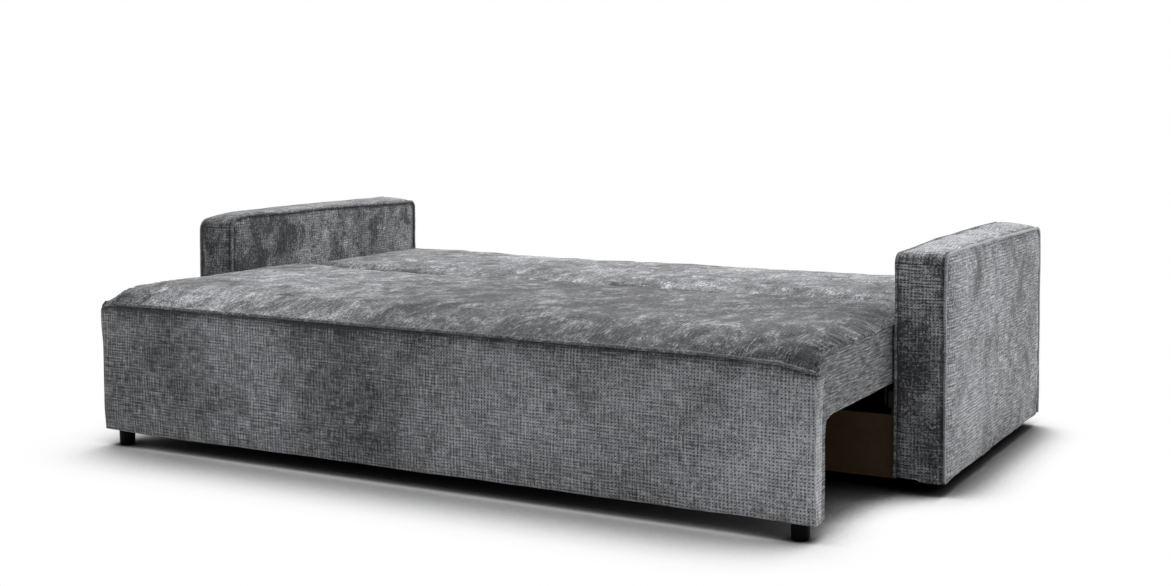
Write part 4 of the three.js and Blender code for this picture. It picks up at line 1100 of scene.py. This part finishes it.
def seat_side(side):
    """Cover of a seat's end: a band below the top that turns down round the cheek."""
    sign = SIDES[side]
    radius = chosen_sizes().cheek_radius
    depth = SIDE_HIGH.y - SIDE_LOW.y
    height = SIDE_HIGH.z - SIDE_LOW.z
    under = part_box("seat_frame")[0].z - WOOD_GAP - SIDE_LOW.z
    cheek = POST_HIGH.y + WOOD_GAP - SIDE_LOW.y
    piece = flat_sheet(f"seat_end_upholstery_{side}", depth, height, chosen_sizes().cell * 0.6)
    points = points_of(piece)
    # Faint shade painted along the front border of the seat's end
    mark_crease(piece, 0.35 * (points[:, 0] < ON_BORDER))
    points[:, 0] = line_up(points[:, 0], cheek, depth)
    points[:, 1] = line_up(points[:, 1], under, height)
    place_points(piece, points)
    centres = centres_of(piece)
    with picked(piece, chosen=(centres[:, 0] > cheek) & (centres[:, 1] < under)):
        bpy.ops.mesh.delete(type="FACE")
    u, v = points_of(piece)[:, :2].T
    near = np.clip(1 - np.hypot(u - cheek, v - under) / (radius * 1.6), 0, 1)
    fillet = near ** 1.5 * (radius * (math.sqrt(2) - 1) / math.sqrt(2))
    u, v = u + fillet, v - fillet
    hem = fade(v, 0.04) * ripple_along(u, 0.05, 71 + sign) * 0.0012
    belly = ripple(columns(u, v), 0.16, 73) * 0.0006 + 0.0004
    seam = end_seam(sign, u + SIDE_LOW.y - SEAT_LOW.y) - FRONT_SEAM
    lift = seam * np.clip((v - under) / (height - under), 0, 1) ** 2
    place_points(piece, swell_corners(columns(
        sign * (SEAT_HALF - END_INSET + belly), u + SIDE_LOW.y, v + hem + SIDE_LOW.z + lift)))
    turn_in(piece, sign, cheek + SIDE_LOW.y, under + SIDE_LOW.z, radius)
    dress_cover(piece, "chenille_side", "seat", f"seat_side_cover_{side}", angle=60,
                cloth=PANEL_CLOTH)


def turn_in(piece, sign, cheek, under, radius):
    """Turns the lower border in behind the cheek and, narrower, below the rail."""
    face_towards(piece, 0, sign)
    y, z = points_of(piece)[edge_ends(piece)].mean(axis=1)[:, 1:].T
    lower = open_border(piece) & (z < under + 0.002) & (z > SIDE_LOW.z + 0.003)
    lower &= (y > cheek - 0.002) & (y < SIDE_HIGH.y - 0.001)
    before = len(piece.data.vertices)
    with picked(piece, "edges", lower):
        bpy.ops.mesh.extrude_edges_move(TRANSFORM_OT_translate={"value": (-sign * 0.001, 0, 0)})
    points = points_of(piece)
    at_cheek = points[:, 1] < cheek + radius * 0.9
    edge = np.where(at_cheek, FRONT_HIGH.x - CHEEK_RETURN, SEAT_HALF - RAIL_RETURN)
    points[before:, 0] = sign * edge[before:]
    place_points(piece, points)


def seat_welt():
    """Piping along the front seam, drooping into the corners."""
    low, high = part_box("seat_piping")
    x = np.linspace(-SEAT_HALF + WELT_STOPS[0], SEAT_HALF - WELT_STOPS[1], 360)
    tucked = fade(x - x[0], 0.012)
    z = front_seam(x) + high.z - chosen_sizes().piping - FRONT_SEAM
    z = z + ripple_along(x, 0.2, 81) * 0.0008 - 0.003 * tucked
    y = (low.y + high.y) / 2 - 0.0015 + 0.005 * tucked
    # The front piping is the shaded copy of the piping: painted shade
    make_welt("seat_welt", swell_corners(columns(x, y, z)), "chenille_piping_dark", "seat", "seat_piping")


# Backrest

BACK_STEP_SHARES = (0.05, 0.07, 0.10, 0.14, 0.16, 0.13, 0.10, 0.07, 0.06, 0.06, 0.06)
BACK_CROWN = 0.0080
# Room below the backrest's top for its crown, and how far the cover's wall stands off the frame
BACK_TOP_ROOM = 0.012
BACK_WALL = 0.0097
BACK_END_ROLL = 0.014
HOLLOW_GAP = 0.0003


def back_cover():
    """Cover round the backrest, with a hollow for its frame, foam and lining."""
    sizes = chosen_sizes()
    depth = BACK_HIGH.y - BACK_LOW.y
    base = BACK_LOW.z
    body_top = BACK_HIGH.z - BACK_TOP_ROOM
    thick = body_top - base
    ledge = FOAM_HIGH.z - base
    piece = flat_sheet("back_upholstery", SEAT_WIDTH, depth, sizes.cell)
    thicken(piece, [share * thick for share in BACK_STEP_SHARES])
    u, v, w = points_of(piece).T.copy()
    from_side = np.minimum(u, SEAT_WIDTH - u)
    # Shade painted along the backrest's front foot where it meets the seat, fainter towards the left
    mark_crease(piece, beside(v, 1.2, 0.022) * np.interp(u, (0, 1.2), (0.3, 1)))
    v, w = round_corners(v, w, sizes.back_radius, (0, thick), (depth, thick), (0, 0), (depth, 0))
    top = w > thick - 1e-4
    w = np.where(w > thick * 0.8, w - BACK_END_ROLL * (1 - rise(from_side, 0.03)), w)
    crown = BACK_CROWN * rise(np.minimum(v, depth - v), 0.2) * rise(from_side, 0.2)
    flat = columns(u, v)
    soft = ripple(flat * (0.6, 1), 0.3, 91) * 0.0020 + ripple(flat, 0.12, 92) * 0.0008
    w = w + np.where(top, crown + soft * rise(from_side, 0.1), 0)
    half = np.where(w < ledge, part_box("back_frame")[1].x + BACK_WALL, SEAT_HALF)
    place_points(piece, columns((u - SEAT_HALF) * half / SEAT_HALF, v + BACK_LOW.y, w + base))
    held = (w < ledge + 0.002) | (from_side < ON_BORDER)
    settle_as_cloth(piece, held, **TOP_SETTLING)
    refine(piece)
    points = points_of(piece)
    end = SEAT_HALF - np.abs(points[:, 0])
    near_top = points[:, 2] > body_top - 0.02
    along_end = columns(points[:, 1], end * 0.3)
    points[:, 2] += near_top * ripple(along_end, 0.03, 93) * sizes.gather * fade(end, 0.05)
    place_points(piece, points)
    hollow_out(
        piece, (-FOAM_HIGH.x - HOLLOW_GAP, LINING_LOW.y - HOLLOW_GAP, BACK_LOW.z - 0.02),
        (FOAM_HIGH.x + HOLLOW_GAP, LINING_HIGH.y + HOLLOW_GAP, FOAM_HIGH.z + HOLLOW_GAP))
    dress_cover(piece, "chenille_back", "backrest", "back_cushion", angle=60)


def hollow_out(piece, low, high):
    """Cuts a plain hollow for what the cover holds."""
    deselect()
    bpy.ops.mesh.primitive_cube_add(size=1, location=[(a + b) / 2 for a, b in zip(low, high)])
    cutter = bpy.context.object
    cutter.scale = [b - a for a, b in zip(low, high)]
    settle_transform(cutter)
    finish_modifier(piece, "BOOLEAN", operation="DIFFERENCE", solver="EXACT", object=cutter)
    bpy.data.objects.remove(cutter)


# Feet

GLIDE = 0.004
FOOT_TAPER = 0.94


def turned_foot(name, body, node):
    """A slightly tapered round foot with a broken edge and a thin glide, on the floor."""
    low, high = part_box(node)
    middle_x, middle_y, _ = (low + high) / 2
    tall = high.z - low.z - GLIDE
    deselect()
    bpy.ops.mesh.primitive_cylinder_add(
        vertices=48, radius=(high.x - low.x) / 2, depth=tall,
        location=(middle_x, middle_y, low.z + GLIDE + tall / 2))
    piece = bpy.context.object
    piece.name = name
    settle_transform(piece)
    with picked(piece, chosen=normals_of(piece)[:, 2] < -0.9):
        bpy.ops.transform.resize(
            value=(FOOT_TAPER, FOOT_TAPER, 1), center_override=(middle_x, middle_y, low.z))
        bpy.ops.mesh.inset(thickness=0.002, depth=0)
        bpy.ops.mesh.extrude_region_move(TRANSFORM_OT_translate={"value": (0, 0, -GLIDE)})
    break_edges(piece, width=0.0012, segments=3, angle=40)
    smooth(piece, 40)
    dress(piece, "black_foot", body, node)


# Stage

# The camera's place over the floor and its lens, from the photograph's perspective
CAMERA_PLACE = (2.150, -3.830, 0.940)
CAMERA_TURN = (math.pi / 2 - 0.0416, 0, 0.4993)
IMAGE_WIDTH_PX = 1171
IMAGE_HEIGHT_PX = 586
FOCAL_PX = 1595.99
HORIZON_CENTRE_PX = 159.17
SENSOR = 36.0

WHITE = (1, 1, 1, 1)
AMBIENT = {"Color": (0.96, 0.98, 1.0, 1), "Strength": 0.36}
# Tone of the pale floor, for the light that falls on things and where it is seen
FLOOR_TONE = (0.75, 0.8)
# How near a thing must be to shade the floor, less beside the right arm, and how deep the shade is
SHADE_REACH = (0.38, 0.20)
SHADE_SIDE = (0.95, 1.20)
SHADE_DEPTH = 2.4
# Share of open air over the floor at which it begins to turn, and has turned, plain white
FLOOR_FADE = (0.5, 0.95)
# Name, place, aim, width and height, and power of each lamp
LAMPS = (
    ("overhead", (0.1, 2.2, 3.1), (0, 0.1, 0.3), (4.6, 2.2), 170),
    ("right_window", (4.4, 0.9, 2.2), (0.8, 0.2, 0.3), (2.6, 2.4), 88),
    ("front_left", (-2.2, -4.6, 2.4), (0, -0.3, 0.3), (3.4, 2.0), 38),
)


def put_in_scene(name, data, place, turn):
    holder = bpy.data.objects.new(name, data)
    holder.location = place
    holder.rotation_euler = turn
    bpy.context.scene.collection.objects.link(holder)
    return holder


def make_camera():
    camera = bpy.data.cameras.new("camera")
    camera.sensor_width = SENSOR
    camera.lens = FOCAL_PX / IMAGE_WIDTH_PX * SENSOR
    camera.shift_y = (HORIZON_CENTRE_PX - IMAGE_HEIGHT_PX / 2) / IMAGE_WIDTH_PX
    bpy.context.scene.camera = put_in_scene("camera", camera, CAMERA_PLACE, CAMERA_TURN)


def make_lamp(name, place, aim, size, power):
    lamp = bpy.data.lights.new(name, "AREA")
    lamp.shape = "RECTANGLE"
    lamp.size, lamp.size_y = size
    lamp.energy = power
    turn = (Vector(aim) - Vector(place)).to_track_quat("-Z", "Y").to_euler()
    put_in_scene(name, lamp, place, turn)


def make_world():
    world = bpy.data.worlds.new("studio")
    bpy.context.scene.world = world
    studio = Nodes(world)
    studio.tree.nodes.clear()
    ambient = studio.add("ShaderNodeBackground", AMBIENT)
    white = studio.add("ShaderNodeBackground", {"Color": WHITE, "Strength": 1.0})
    studio.mix_into("ShaderNodeOutputWorld", studio.seen_directly(), ambient, white)


def make_floor():
    """The pale floor, darker close to things and plain white away from them."""
    deselect()
    bpy.ops.mesh.primitive_plane_add(size=60, location=(0, 0, 0))
    floor = bpy.context.object
    floor.name = "floor"
    settle_transform(floor)
    material = bpy.data.materials.new("pale_floor")
    pale = Nodes(material)
    pale.tree.nodes.clear()
    direct = pale.seen_directly()
    lit = pale.map_range(direct, 0.0, 1.0, *FLOOR_TONE)
    place = pale.add("ShaderNodeTexCoord", output=3)
    sideways = pale.add("ShaderNodeSeparateXYZ", {0: place})
    reach = pale.map_range(sideways, *SHADE_SIDE, *SHADE_REACH)
    # Painted shadow: the floor's tone is darkened near things by ambient occlusion, on top of the lamps' own
    # shadows
    near = pale.add("ShaderNodeAmbientOcclusion", {"Distance": reach}, output=1, samples=16)
    shaded = pale.times(lit, pale.maths("POWER", near, SHADE_DEPTH))
    matt = pale.add("ShaderNodeBsdfDiffuse", {"Color": shaded})
    white = pale.add("ShaderNodeEmission", {"Color": WHITE})
    away = pale.map_range(near, *FLOOR_FADE, smooth_step=True)
    pale.mix_into("ShaderNodeOutputMaterial", pale.times(away, direct), matt, white)
    floor.data.materials.append(material)


# Steps

class SOFA_OT_stage(bpy.types.Operator):
    """Makes the pale floor, the soft studio light and the camera"""
    bl_idname = "sofa.stage"
    bl_label = "Stage"

    def execute(self, context):
        make_camera()
        make_world()
        make_floor()
        for lamp in LAMPS:
            make_lamp(*lamp)
        context.scene.view_settings.view_transform = "Standard"
        return {"FINISHED"}


class SOFA_OT_finishes(bpy.types.Operator):
    """Makes the finishes and puts them on the boards, frames and fittings"""
    bl_idname = "sofa.finishes"
    bl_label = "Finishes"

    def execute(self, context):
        make_finishes()
        dress_solids()
        return {"FINISHED"}


class SOFA_OT_arms(bpy.types.Operator):
    """Makes the padded cover and the piping of both arms"""
    bl_idname = "sofa.arms"
    bl_label = "Arms"

    def execute(self, context):
        for side in SIDES:
            arm_cover(side)
            for face in ("outer", "inner"):
                # Pipings that are not listed get the shaded copy: painted shade
                finish = ARM_PIPING.get((side, face), "chenille_piping_dark")
                make_welt(f"arm_welt_{side}_{face}", arm_seam_path(side, face), finish, "base",
                          f"arm_piping_{side}_{face}")
        return {"FINISHED"}


class SOFA_OT_seat(bpy.types.Operator):
    """Makes the seat's top, its front panel with the piping, and the covers of its two ends"""
    bl_idname = "sofa.seat"
    bl_label = "Seat"

    def execute(self, context):
        seat_padding()
        seat_top()
        front_panel()
        for side in SIDES:
            seat_side(side)
        seat_welt()
        return {"FINISHED"}


class SOFA_OT_backrest(bpy.types.Operator):
    """Makes the backrest's cover"""
    bl_idname = "sofa.backrest"
    bl_label = "Backrest"

    def execute(self, context):
        back_cover()
        return {"FINISHED"}


class SOFA_OT_feet(bpy.types.Operator):
    """Makes the round feet below the arms and below the seat's cheeks"""
    bl_idname = "sofa.feet"
    bl_label = "Feet"

    def execute(self, context):
        for side in SIDES:
            turned_foot(f"seat_front_foot_{side}", "seat", f"seat_foot_{side}")
            for end in ("front", "rear"):
                turned_foot(f"arm_{end}_foot_{side}", "base", f"arm_foot_{side}_{end}")
        return {"FINISHED"}


class SOFA_PT_panel(bpy.types.Panel):
    """Lists the steps that make the sofa"""
    bl_label = "Sleeper sofa"
    bl_idname = "SOFA_PT_panel"
    bl_space_type = "VIEW_3D"
    bl_region_type = "UI"
    bl_category = "Sofa"

    def draw(self, context):
        for group in (context.scene.sofa_sizes, context.scene.sofa_colours):
            for key in group.__annotations__:
                self.layout.prop(group, key)
        for step in STEPS:
            self.layout.operator(step.bl_idname)


STEPS = (SOFA_OT_stage, SOFA_OT_finishes, SOFA_OT_arms, SOFA_OT_seat, SOFA_OT_backrest, SOFA_OT_feet)
CLASSES = (SofaSizes, SofaColours, *STEPS, SOFA_PT_panel)


def register():
    for item in CLASSES:
        bpy.utils.register_class(item)
    bpy.types.Scene.sofa_sizes = PointerProperty(type=SofaSizes)
    bpy.types.Scene.sofa_colours = PointerProperty(type=SofaColours)


def unregister():
    del bpy.types.Scene.sofa_colours
    del bpy.types.Scene.sofa_sizes
    for item in reversed(CLASSES):
        bpy.utils.unregister_class(item)


def main():
    register()
    bpy.ops.sofa.stage()
    bpy.ops.sofa.finishes()
    bpy.ops.sofa.arms()
    bpy.ops.sofa.seat()
    bpy.ops.sofa.backrest()
    bpy.ops.sofa.feet()
    deselect()


if __name__ == "__main__":
    main()
